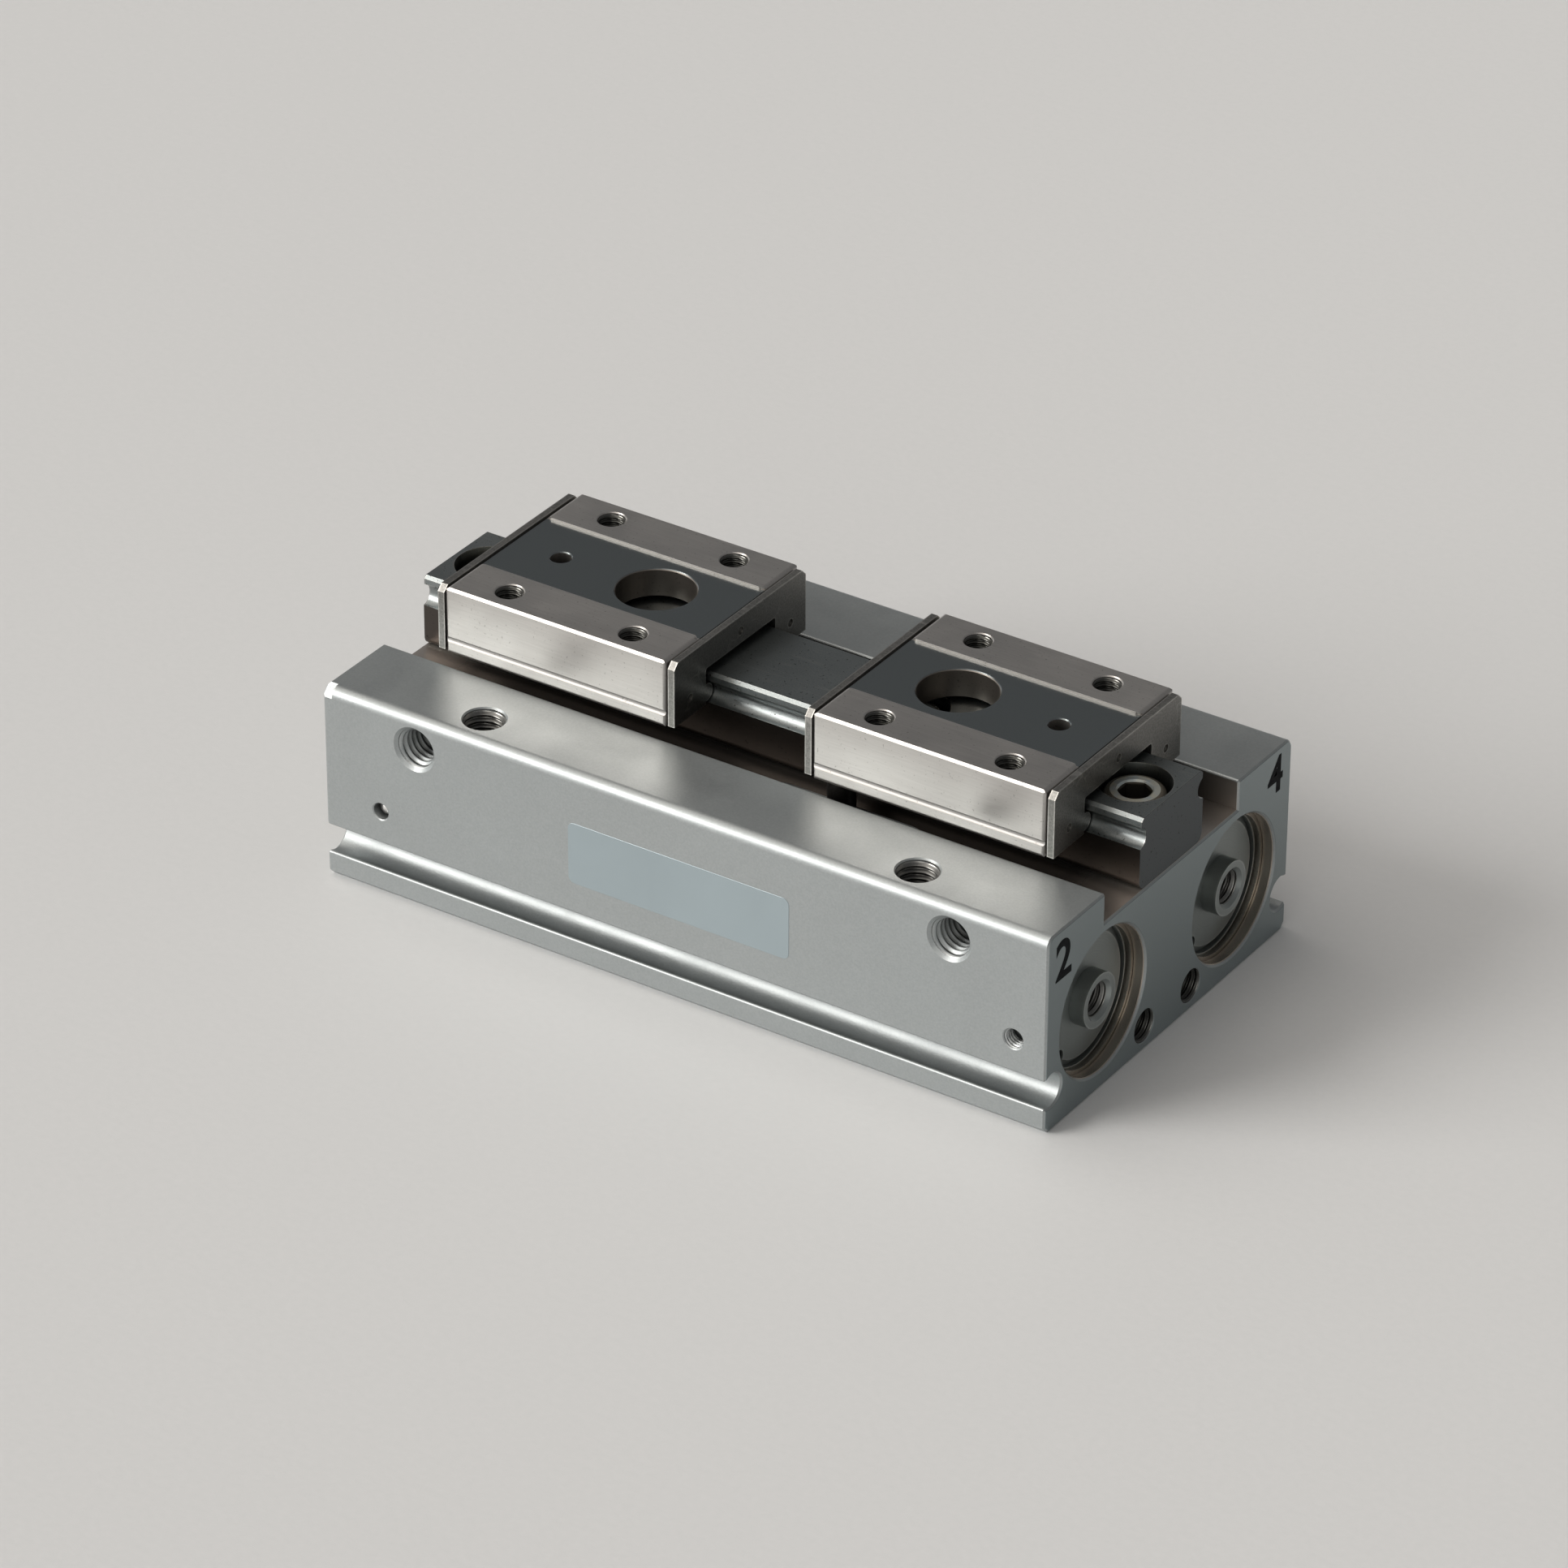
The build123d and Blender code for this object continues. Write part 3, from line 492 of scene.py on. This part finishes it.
def noise_value(tree, scale, stretch=None, **inputs):
    """Noise over the piece's own coordinates, drawn out by stretch along each axis."""
    place = add(tree, "ShaderNodeTexCoord").outputs["Object"]
    if stretch is not None:
        place = add(tree, "ShaderNodeVectorMath", {0: place, 1: stretch}, operation="MULTIPLY").outputs[0]
    return add(tree, "ShaderNodeTexNoise", {"Vector": place, "Scale": scale, **inputs}).outputs[0]


def edge_group():
    """Convex edges, broken up by noise, whose lightening is partly rubbing and partly a painted highlight;
    and hollows that hold grime.
    """
    inputs = {"Reach": EDGE_REACH, "Break-up": BREAK_UP_SCALE}
    group, given, result = new_group("worn edges", inputs, ("Edge", "Hollow"))
    near_edge = maths(group, "SUBTRACT", 1.0, shelter(group, given[0], inside=True))
    noise = noise_value(group, given[1], Detail=4.0)
    torn = maths(group, "MULTIPLY", near_edge, spread(group, noise, BREAK_UP_BAND, BREAK_UP_SHARE))
    group.links.new(spread(group, torn, EDGE_BAND), result[0])
    group.links.new(spread(group, shelter(group, given[0]), HOLLOW_BAND, FALLING), result[1])
    return group


def deep_group():
    """Painted shade mask: insides of narrow holes, where hardly any of the sky above a point is open."""
    group, given, result = new_group("deep", {"Reach": DEEP_REACH}, ("Mask",))
    group.links.new(spread(group, shelter(group, given[0]), DEEP_BAND, FALLING), result[0])
    return group


def grain_group():
    """Fine noise, drawn out by Stretch along each axis."""
    group, given, result = new_group("grain", {"Scale": GRAIN_SCALE, "Stretch": EVEN}, ("Height",))
    group.links.new(noise_value(group, given[0], given[1], Detail=3.0), result[0])
    return group


def mark_group():
    """Thin scratches: a drawn-out noise kept only where it is near its middle value, in patches."""
    inputs = {"Scale": SCRATCH_SCALE, "Stretch": SCRATCH_STRETCH, "Width": SCRATCH_WIDTH}
    group, given, result = new_group("scratches", inputs, ("Mask",))
    noise = noise_value(group, given[0], given[1], Detail=1.0)
    away = maths(group, "ABSOLUTE", maths(group, "SUBTRACT", noise, SCRATCH_MIDDLE))
    thin = spread(group, away, (0.0, given[2]), FALLING)
    patch = noise_value(group, SCRATCH_PATCH_SCALE, Detail=2.0)
    patched_in = maths(group, "MULTIPLY", thin, spread(group, patch, SCRATCH_PATCH_BAND))
    group.links.new(patched_in, result[0])
    return group


def pit_group():
    """Small pits, the peaks of a noise."""
    group, given, result = new_group("pits", {"Scale": PIT_SCALE}, ("Mask",))
    group.links.new(spread(group, noise_value(group, given[0], Detail=1.0), PIT_BAND), result[0])
    return group


def smudge_group():
    """Large soft patches, as handling and cleaning leave them."""
    group, given, result = new_group("smudges", {"Scale": SMUDGE_SCALE}, ("Mask",))
    noise = noise_value(group, given[0], Detail=5.0, Roughness=0.6, Distortion=0.6)
    group.links.new(spread(group, noise, SMUDGE_BAND), result[0])
    return group


EDGES = edge_group()
DEEP = deep_group()
PITS = pit_group()
GRAIN = grain_group()
SCRATCHES = mark_group()
SMUDGES = smudge_group()


def use(tree, group, output=0, **inputs):
    """One output of a node group, with the values given for its inputs."""
    node = tree.nodes.new("ShaderNodeGroup")
    node.node_tree = group
    for key, value in inputs.items():
        node.inputs[key].default_value = value
    return node.outputs[output]


def new_material(name):
    """Material with a Principled shader and nothing else."""
    made = bpy.data.materials.new(name)
    made.use_nodes = True
    tree = made.node_tree
    tree.nodes.clear()
    target = tree.nodes.new("ShaderNodeOutputMaterial")
    shader = tree.nodes.new("ShaderNodeBsdfPrincipled")
    tree.links.new(shader.outputs[0], target.inputs[0])
    return made, tree, shader


def set_finish(tree, shader, colour, roughness, height, depth, metallic):
    """Joins a colour, a roughness and a height map to the shader; depth is the height's full range."""
    tree.links.new(colour, shader.inputs["Base Color"])
    tree.links.new(roughness, shader.inputs["Roughness"])
    bump = add(tree, "ShaderNodeBump", {"Height": height, "Distance": depth, "Strength": 1.0})
    tree.links.new(bump.outputs[0], shader.inputs["Normal"])
    shader.inputs["Metallic"].default_value = metallic


def place_parts(tree):
    """X, Y and Z of the point being shaded."""
    place = add(tree, "ShaderNodeTexCoord").outputs["Object"]
    return add(tree, "ShaderNodeSeparateXYZ", {0: place}).outputs


def within(tree, value, limits):
    """1 where a value lies between two limits."""
    above = maths(tree, "GREATER_THAN", value, limits[0])
    return maths(tree, "MULTIPLY", above, maths(tree, "LESS_THAN", value, limits[1]))


def distance(tree, first, second):
    """Length of the two sides' diagonal."""
    first_square = maths(tree, "MULTIPLY", first, first)
    second_square = maths(tree, "MULTIPLY", second, second)
    return maths(tree, "SQRT", maths(tree, "ADD", first_square, second_square))


def from_bore_axis(tree, parts):
    """Distance from the nearer bore's axis."""
    across_axis = maths(tree, "SUBTRACT", maths(tree, "ABSOLUTE", parts[1]), BORE_AXIS[0])
    return distance(tree, across_axis, maths(tree, "SUBTRACT", parts[2], BORE_AXIS[1]))


def finger_strip(tree):
    """Polished strip between the raised bands on top of a finger; its darker colour is a painted reflection.
    """
    parts = place_parts(tree)
    inside = maths(tree, "LESS_THAN", maths(tree, "ABSOLUTE", parts[1]), STRIP_EDGE)
    return maths(tree, "MULTIPLY", inside, within(tree, parts[2], STRIP_HEIGHT))


def strip_step(tree):
    """Low walls of the raised bands, darkened as painted shade."""
    parts = place_parts(tree)
    wall = within(tree, maths(tree, "ABSOLUTE", parts[1]), STRIP_STEP)
    return maths(tree, "MULTIPLY", wall, within(tree, parts[2], STRIP_STEP_HEIGHT))


def finger_groove(tree):
    """Fine groove along each side of a finger, with a duller finish; its darker colour is painted shade."""
    parts = place_parts(tree)
    inside = maths(tree, "LESS_THAN", maths(tree, "ABSOLUTE", parts[1]), SIDE_GROOVE_EDGE)
    return maths(tree, "MULTIPLY", inside, within(tree, parts[2], SIDE_GROOVE_HEIGHT))


def channel_faces(tree):
    """Floor and walls of the channel that the rail lies in."""
    parts = place_parts(tree)
    inside = maths(tree, "LESS_THAN", maths(tree, "ABSOLUTE", parts[1]), CHANNEL_EDGE)
    return maths(tree, "MULTIPLY", inside, within(tree, parts[2], CHANNEL_HEIGHT))


def channel_shadow(tree):
    """Painted shadow: the middle part of the channel, under the fingers, darkened as their shadow, fading
    towards the ends.
    """
    reach = maths(tree, "ABSOLUTE", place_parts(tree)[0])
    shadow_share = spread(tree, reach, SHADOW_FADE, (1.0, 0.0))
    return maths(tree, "MULTIPLY", channel_faces(tree), shadow_share)


def body_ends(tree):
    """Both end faces of the housing, darker partly for their milled finish and partly as painted shade."""
    return maths(tree, "GREATER_THAN", maths(tree, "ABSOLUTE", place_parts(tree)[0]), BODY_END)


def rail_ends(tree):
    """Both end faces of the rail, darkened as painted shade."""
    return maths(tree, "GREATER_THAN", maths(tree, "ABSOLUTE", place_parts(tree)[0]), RAIL_END)


def bored_recess(tree):
    """Bare wall of the recess in front of each cap; its warm bronze tint is a painted reflection."""
    parts = place_parts(tree)
    near_end = maths(tree, "GREATER_THAN", maths(tree, "ABSOLUTE", parts[0]), RECESS_START)
    return maths(tree, "MULTIPLY", near_end, within(tree, from_bore_axis(tree, parts), RECESS_RADIUS))


def rail_foot(tree):
    """Flanks of the rail below its ball grooves, darkened as a painted reflection of the shaded channel."""
    parts = place_parts(tree)
    flank = maths(tree, "GREATER_THAN", maths(tree, "ABSOLUTE", parts[1]), RAIL_FLANK)
    return maths(tree, "MULTIPLY", flank, maths(tree, "LESS_THAN", parts[2], RAIL_FOOT_TOP))


def window_wall(tree):
    """Wall of the round window in each finger, darkened as painted shade."""
    parts = place_parts(tree)
    reach = distance(tree, maths(tree, "SUBTRACT", maths(tree, "ABSOLUTE", parts[0]), WINDOW_X), parts[1])
    return maths(tree, "LESS_THAN", reach, WINDOW_REACH)


def from_screw_axis(tree, parts):
    """Distance from the nearest rail screw's axis; the screws lie at |x| = middle +- half."""
    middle = (SCREW_PLACES[3] + SCREW_PLACES[2]) / 2
    half = (SCREW_PLACES[3] - SCREW_PLACES[2]) / 2
    from_middle = maths(tree, "ABSOLUTE", maths(tree, "SUBTRACT", maths(tree, "ABSOLUTE", parts[0]), middle))
    return distance(tree, maths(tree, "SUBTRACT", from_middle, half), parts[1])


def screw_sockets(tree):
    """Inside of each screw's hexagon socket, darkened as painted shade."""
    parts = place_parts(tree)
    inside = maths(tree, "LESS_THAN", from_screw_axis(tree, parts), SOCKET_REACH)
    return maths(tree, "MULTIPLY", inside, maths(tree, "LESS_THAN", parts[2], SOCKET_SHADE_TOP))


def screw_rims(tree):
    """Rounded edge of each screw head, outside its flat ring, darkened as painted shade."""
    return within(tree, from_screw_axis(tree, place_parts(tree)), SCREW_RIM)


def patched(tree, colour, rough, patches):
    """Lays each (mask, colour, roughness) over a colour and a roughness."""
    for mask, patch_colour, patch_rough in patches:
        share = mask(tree)
        colour = blend(tree, share, colour, (*patch_colour, 1))
        rough = add(tree, "ShaderNodeMix", {0: share, 2: rough, 3: patch_rough}).outputs[0]
    return colour, rough


def metal(name, colour, worn, dirt_and_shade, roughness, grain, depth, metallic=1.0, stretch=EVEN, reach=0.4 * MM,
          marks=0.3, wear_and_glint=0.7, pits=0.0, tint=None, patches=()):
    """Metal with a grain, smudges, scratches along X, brighter edges (partly rubbed bright, partly a painted
    highlight), darker hollows, and painted shade far inside narrow holes.

    grain is its scale and depth its height; stretch draws it out. reach is how far the edge lightening
    spreads from an edge, wear_and_glint and marks are how strongly edges and scratches show, and pits is how
    dark small pits are.
    dirt_and_shade is the colour of hollows and pits and of the painted shade in holes. tint is a second
    colour that comes and goes in soft patches. patches are (mask, colour, roughness) for faces with another
    finish, painted shade or a painted reflection."""
    made, tree, shader = new_material(name)
    edge = use(tree, EDGES, 0, Reach=reach)
    hollow = use(tree, EDGES, 1, Reach=HOLLOW_REACH)
    deep = use(tree, DEEP)
    height = use(tree, GRAIN, Scale=grain, Stretch=stretch)
    scratch = use(tree, SCRATCHES)
    smudge = use(tree, SMUDGES)
    rough = spread(tree, smudge, WHOLE, [roughness + change for change in ROUGHNESS_SWING])
    base = (*colour, 1)
    if tint:
        base = blend(tree, use(tree, SMUDGES, Scale=TINT_SCALE), base, (*tint, 1))
    varied = blend(tree, spread(tree, height, NOISE_BAND, (0.0, GRAIN_SHARE)), base, (*worn, 1))
    marked = blend(tree, maths(tree, "MULTIPLY", scratch, marks), varied, (*worn, 1))
    dirty = blend(tree, maths(tree, "MULTIPLY", hollow, HOLLOW_SHARE), marked, (*dirt_and_shade, 1))
    # Edges lightened, partly rubbed bright and partly a painted highlight
    shade = blend(tree, maths(tree, "MULTIPLY", edge, wear_and_glint), dirty, (*worn, 1))
    rough = maths(tree, "ADD", rough, maths(tree, "MULTIPLY", height, GRAIN_ROUGHNESS))
    rough = maths(tree, "SUBTRACT", rough, maths(tree, "MULTIPLY", edge, EDGE_POLISH), clamp=True)
    shade, rough = patched(tree, shade, rough, patches)
    relief = maths(tree, "SUBTRACT", height, maths(tree, "MULTIPLY", scratch, marks))
    if pits:
        pit = use(tree, PITS)
        shade = blend(tree, maths(tree, "MULTIPLY", pit, pits), shade, (*dirt_and_shade, 1))
        relief = maths(tree, "SUBTRACT", relief, maths(tree, "MULTIPLY", pit, PIT_DEPTH))
    # Painted shade: darkens the colour far inside narrow holes
    shade = blend(tree, maths(tree, "MULTIPLY", deep, DEEP_SHARE), shade, (*dirt_and_shade, 1))
    set_finish(tree, shader, shade, rough, relief, depth, metallic)
    return made


def soft(name, colour, roughness, grain, depth, gloss=0.5):
    """Rubber or plastic with a fine skin and a little dust; gloss is how strongly it reflects."""
    made, tree, shader = new_material(name)
    height = use(tree, GRAIN, Scale=grain)
    smudge = use(tree, SMUDGES, Scale=DUST_SCALE)
    dusty = tuple(min(1.0, value * DUST_GAIN + DUST_LIFT) for value in colour)
    varied = blend(tree, maths(tree, "MULTIPLY", smudge, DUST_SHARE), (*colour, 1), (*dusty, 1))
    rough = spread(tree, height, NOISE_BAND, (roughness - SKIN_SWING, roughness + SKIN_SWING))
    set_finish(tree, shader, varied, rough, height, depth, 0.0)
    shader.inputs["Specular IOR Level"].default_value = gloss
    return made


def turned(name, colour, worn, dirt_and_shade, roughness):
    """Turned metal: fine rings about each bore's axis, edges lightened partly by rubbing and partly as a
    painted highlight, and painted shade far inside holes.
    """
    made, tree, shader = new_material(name)
    radius = from_bore_axis(tree, place_parts(tree))
    inputs = {"W": radius, "Scale": RING_SCALE, "Detail": 2.0}
    rings = add(tree, "ShaderNodeTexNoise", inputs, noise_dimensions="1D").outputs[0]
    edge = use(tree, EDGES, 0, Reach=TURNED_REACH)
    hollow = use(tree, EDGES, 1, Reach=HOLLOW_REACH)
    deep = use(tree, DEEP)
    varied = blend(tree, spread(tree, rings, NOISE_BAND, (0.0, RING_SHARE)), (*colour, 1), (*worn, 1))
    dirty = blend(tree, maths(tree, "MULTIPLY", hollow, TURNED_HOLLOW_SHARE), varied, (*dirt_and_shade, 1))
    # Edges lightened, partly rubbed bright and partly a painted highlight
    edged = blend(tree, maths(tree, "MULTIPLY", edge, TURNED_WEAR_AND_GLINT), dirty, (*worn, 1))
    # Painted shade: darkens the colour far inside narrow holes
    sunk = blend(tree, maths(tree, "MULTIPLY", deep, DEEP_SHARE), edged, (*dirt_and_shade, 1))
    smudge = use(tree, SMUDGES, Scale=TURNED_SMUDGE_SCALE)
    rough = spread(tree, smudge, WHOLE, [roughness + change for change in TURNED_SWING])
    set_finish(tree, shader, sunk, rough, rings, RING_DEPTH, TURNED_METALLIC)
    return made


def film():
    """Smooth label film, faintly mottled."""
    made, tree, shader = new_material("label film")
    smudge = use(tree, SMUDGES, Scale=FILM_MOTTLE_SCALE)
    height = use(tree, GRAIN, Scale=FILM_GRAIN_SCALE)
    lighter = tuple(min(1.0, value * FILM_LIFT) for value in FILM_COLOUR)
    varied = blend(tree, smudge, (*FILM_COLOUR, 1), (*lighter, 1))
    rough = spread(tree, smudge, WHOLE, FILM_ROUGHNESS)
    set_finish(tree, shader, varied, rough, height, FILM_DEPTH, FILM_METALLIC)
    return made


# Old oil in hollows and pits, and also the colour of painted shade inside holes
OIL_AND_HOLE_SHADE = (0.03, 0.028, 0.025)

materials = {
    "housing_aluminium": metal(
        "anodised aluminium", (0.36, 0.385, 0.39), (0.60, 0.62, 0.62), (0.03, 0.03, 0.028),
        roughness=0.42, grain=3800.0, depth=0.014 * MM, metallic=0.85, reach=0.25 * MM, marks=0.06,
        patches=(
            (channel_faces, (0.48, 0.44, 0.405), 0.32),
            # Painted shadow under the fingers along the middle of the channel
            (channel_shadow, (0.085, 0.078, 0.071), 0.26),
            # End faces darker: partly their milled finish, partly painted shade
            (body_ends, (0.27, 0.31, 0.32), 0.38),
            # Warm bronze tint: a painted reflection on the recess wall
            (bored_recess, (0.40, 0.36, 0.31), 0.26),
        ),
    ),
    "cap_aluminium": turned(
        "turned aluminium", (0.27, 0.295, 0.29), (0.52, 0.54, 0.53), OIL_AND_HOLE_SHADE, roughness=0.38,
    ),
    "rail_steel": metal(
        "rail steel", (0.215, 0.24, 0.245), (0.55, 0.53, 0.50), OIL_AND_HOLE_SHADE,
        roughness=0.30, grain=5000.0, depth=0.003 * MM, reach=0.25 * MM, marks=0.2, pits=0.7,
        patches=(
            # Painted reflection: the lower rail flanks are dark as they mirror the shaded channel
            (rail_foot, (0.075, 0.065, 0.058), 0.34),
            # Painted shade on the rail's end faces
            (rail_ends, (0.09, 0.10, 0.105), 0.42),
        ),
    ),
    "screw_steel": metal(
        "zinc plating", (0.62, 0.58, 0.46), (0.78, 0.75, 0.66), OIL_AND_HOLE_SHADE,
        roughness=0.40, grain=5000.0, depth=0.004 * MM, metallic=0.7, reach=0.25 * MM,
        tint=(0.42, 0.50, 0.55),
        patches=(
            # Painted shade inside the hexagon sockets
            (screw_sockets, (0.035, 0.03, 0.022), 0.5),
            # Painted shade on the rounded rim of each screw head
            (screw_rims, (0.17, 0.15, 0.12), 0.4),
        ),
    ),
    "spring_steel": metal(
        "spring steel", (0.40, 0.36, 0.31), (0.72, 0.68, 0.62), (0.05, 0.04, 0.03),
        roughness=0.30, grain=5000.0, depth=0.005 * MM, reach=0.2 * MM,
    ),
    "finger_steel": metal(
        "finger steel", (0.50, 0.48, 0.46), (0.76, 0.74, 0.71), (0.05, 0.045, 0.04),
        roughness=0.32, grain=4000.0, depth=0.002 * MM, stretch=ALONG, reach=0.16 * MM, marks=0.15, pits=0.35,
        patches=(
            # Polished strip, its darker teal colour a painted reflection
            (finger_strip, (0.24, 0.265, 0.27), 0.24),
            # Painted shade on the low step walls
            (strip_step, (0.30, 0.27, 0.25), 0.36),
            # Duller finish in the side groove; its darker colour is painted shade
            (finger_groove, (0.34, 0.33, 0.32), 0.45),
            # Painted shade on the window wall
            (window_wall, (0.22, 0.20, 0.18), 0.40),
        ),
    ),
    "plate_steel": metal(
        "plate steel", (0.17, 0.168, 0.16), (0.72, 0.70, 0.66), (0.05, 0.04, 0.035),
        roughness=0.36, grain=3500.0, depth=0.006 * MM, reach=0.25 * MM,
    ),
    "wiper_rubber": soft(
        "wiper rubber", (0.03, 0.03, 0.03), roughness=0.6, grain=3000.0, depth=0.01 * MM,
    ),
    "seal_rubber": soft(
        "seal rubber", (0.02, 0.02, 0.02), roughness=0.45, grain=3000.0, depth=0.005 * MM,
    ),
    "bumper_rubber": soft(
        "bumper rubber", (0.05, 0.05, 0.05), roughness=0.65, grain=3000.0, depth=0.01 * MM,
    ),
    "bearing_steel": metal(
        "bearing steel", (0.72, 0.72, 0.71), (0.85, 0.85, 0.84), (0.2, 0.19, 0.17),
        roughness=0.16, grain=5000.0, depth=0.001 * MM,
    ),
    "piston_aluminium": metal(
        "piston aluminium", (0.50, 0.51, 0.52), (0.7, 0.7, 0.7), (0.1, 0.1, 0.1),
        roughness=0.30, grain=4000.0, depth=0.004 * MM,
    ),
    "ring_plastic": soft(
        "ring plastic", (0.70, 0.66, 0.55), roughness=0.45, grain=2000.0, depth=0.004 * MM,
    ),
    "magnet": metal(
        "magnet", (0.11, 0.105, 0.10), (0.2, 0.2, 0.19), (0.03, 0.03, 0.03),
        roughness=0.55, grain=5000.0, depth=0.01 * MM, metallic=0.6,
    ),
    "gear_steel": metal(
        "gear steel", (0.38, 0.38, 0.38), (0.6, 0.6, 0.58), (0.08, 0.07, 0.06),
        roughness=0.32, grain=4000.0, depth=0.004 * MM,
    ),
    "washer_brass": metal(
        "washer brass", (0.58, 0.42, 0.18), (0.8, 0.64, 0.35), (0.12, 0.08, 0.03),
        roughness=0.32, grain=4000.0, depth=0.004 * MM,
    ),
}

# Pieces that look unlike the rest of their slot, by the end of the node's name
special_pieces = {
    "plug_balls": metal(
        "plug ball", (0.78, 0.77, 0.75), (0.85, 0.85, 0.84), (0.2, 0.19, 0.17),
        roughness=0.36, grain=5000.0, depth=0.002 * MM,
    ),
    # Painted shade: rivets darkened as the shade in their punched dimples
    "plate_rivets": metal(
        "rivet steel", (0.085, 0.085, 0.08), (0.34, 0.33, 0.31), (0.02, 0.02, 0.02),
        roughness=0.40, grain=5000.0, depth=0.006 * MM, reach=0.2 * MM, wear_and_glint=0.4,
    ),
    # Painted shade: drive pins coloured nearly black to match the shade in the gap under the fingers
    "drive_pin": metal(
        "pin steel in painted shade", (0.07, 0.065, 0.06), (0.20, 0.20, 0.19), (0.02, 0.02, 0.02),
        roughness=0.34, grain=5000.0, depth=0.003 * MM, reach=0.2 * MM,
    ),
}

# Thread sleeves darkened as painted shade inside their holes; the port and finger threads darkest
dark_thread = metal(
    "dark tapped hole", (0.16, 0.16, 0.155), (0.40, 0.40, 0.38), (0.02, 0.018, 0.015),
    roughness=0.36, grain=5000.0, depth=0.003 * MM, reach=0.2 * MM,
)
thread_in_dark_shade = metal(
    "tapped hole in dark painted shade", (0.07, 0.07, 0.065), (0.20, 0.20, 0.19), (0.012, 0.012, 0.01),
    roughness=0.30, grain=5000.0, depth=0.003 * MM, reach=0.2 * MM,
)
thread_looks = {"top": dark_thread, "cap": dark_thread, "port": thread_in_dark_shade}

for subpart in frame["record"]["subparts"]:
    name = subpart["node"]
    finish = materials[subpart["material_slot"]]
    for ending, special in special_pieces.items():
        if name.endswith(ending):
            finish = special
    for slot in frame["nodes"][name].material_slots:
        slot.material = finish


def dress(piece, material, body):
    """Gives a new piece its material and the body it rides on."""
    piece.data.materials.clear()
    piece.data.materials.append(material)
    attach(piece, body)


for piece in housing_threads():
    hole = piece.name.split("_")[0]
    slot = "cap_aluminium" if hole == "cap" else "housing_aluminium"
    dress(piece, thread_looks.get(hole, materials[slot]), "base")
for hand, name in ((1, "right"), (-1, "left")):
    for piece in finger_threads(hand, name):
        dress(piece, thread_in_dark_shade, f"{name}_carriage")

for number, x in enumerate(SCREW_PLACES, 1):
    screw = rail_screw(f"rail_screw_{number}", x)
    dress(screw, materials["screw_steel"], "base")
    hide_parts("rail_screws")

dress(bare_label(), film(), "base")
ink = soft("dark print", (0.001, 0.002, 0.003), roughness=0.7, grain=3000.0, depth=0.002 * MM, gloss=0.1)
for text, y, z, height in FIGURES:
    dress(figure(text, y, z, height), ink, "base")


def studio_floor():
    """Wide flat floor under the gripper."""
    corners = [(x * FLOOR_HALF, y * FLOOR_HALF, 0) for x, y in ((-1, -1), (1, -1), (1, 1), (-1, 1))]
    mesh = bpy.data.meshes.new("floor")
    mesh.from_pydata(corners, [], [(0, 1, 2, 3)])
    floor = bpy.data.objects.new("floor", mesh)
    bpy.context.scene.collection.objects.link(floor)
    made, tree, shader = new_material("pale floor")
    height = use(tree, GRAIN, Scale=FLOOR_GRAIN_SCALE)
    colour = blend(tree, height, *FLOOR_COLOURS)
    rough = spread(tree, height, NOISE_BAND, FLOOR_ROUGHNESS)
    set_finish(tree, shader, colour, rough, height, FLOOR_DEPTH, 0.0)
    mesh.materials.append(made)


def sun(name, towards, strength, width, colour):
    """Soft distant lamp; towards is the direction from the object to the lamp."""
    data = bpy.data.lights.new(name, "SUN")
    data.energy = strength
    data.angle = math.radians(width)
    data.color = colour
    lamp = bpy.data.objects.new(name, data)
    toward = np.asarray(towards, dtype=float)
    toward /= np.linalg.norm(toward)
    first, second = across(toward)
    rows = [[first[i], second[i], toward[i], toward[i]] for i in range(3)]
    lamp.matrix_world = Matrix(rows + [[0, 0, 0, 1]])
    bpy.context.scene.collection.objects.link(lamp)


def studio_world():
    """Pale wall up to a low height, brighter on the key lamp's side, and a dim ceiling above it."""
    world = bpy.data.worlds.new("studio")
    bpy.context.scene.world = world
    world.use_nodes = True
    tree = world.node_tree
    tree.nodes.clear()
    direction = add(tree, "ShaderNodeTexCoord").outputs["Generated"]
    facing = add(tree, "ShaderNodeVectorMath", {0: direction, 1: BRIGHT_SIDE}, operation="DOT_PRODUCT")
    wall = spread(tree, facing.outputs["Value"], BRIGHT_SPAN, WALL_SHADES)
    rise = add(tree, "ShaderNodeSeparateXYZ", {0: direction}).outputs[2]
    height = spread(tree, rise, WALL_TOP)
    shade = add(tree, "ShaderNodeMix", {0: height, 2: wall, 3: CEILING_SHADE}).outputs[0]
    colour = add(tree, "ShaderNodeCombineColor", {0: shade, 1: shade, 2: shade}).outputs[0]
    background = add(tree, "ShaderNodeBackground", {"Color": colour})
    target = tree.nodes.new("ShaderNodeOutputWorld")
    tree.links.new(background.outputs[0], target.inputs[0])


def photo_camera():
    """Camera at the photograph's place and angle."""
    data = bpy.data.cameras.new("camera")
    data.sensor_width = SENSOR
    data.lens = LENS
    data.clip_start, data.clip_end = CLIPPING
    camera = bpy.data.objects.new("camera", data)
    rows = [[CAMERA_RIGHT[i], -CAMERA_DOWN[i], -CAMERA_FORWARD[i], CAMERA_PLACE[i]] for i in range(3)]
    camera.matrix_world = Matrix(rows + [[0, 0, 0, 1]])
    bpy.context.scene.collection.objects.link(camera)
    bpy.context.scene.camera = camera


studio_floor()
for lamp in LAMPS:
    sun(*lamp)
studio_world()
photo_camera()
bpy.context.scene.view_settings.view_transform = "Standard"
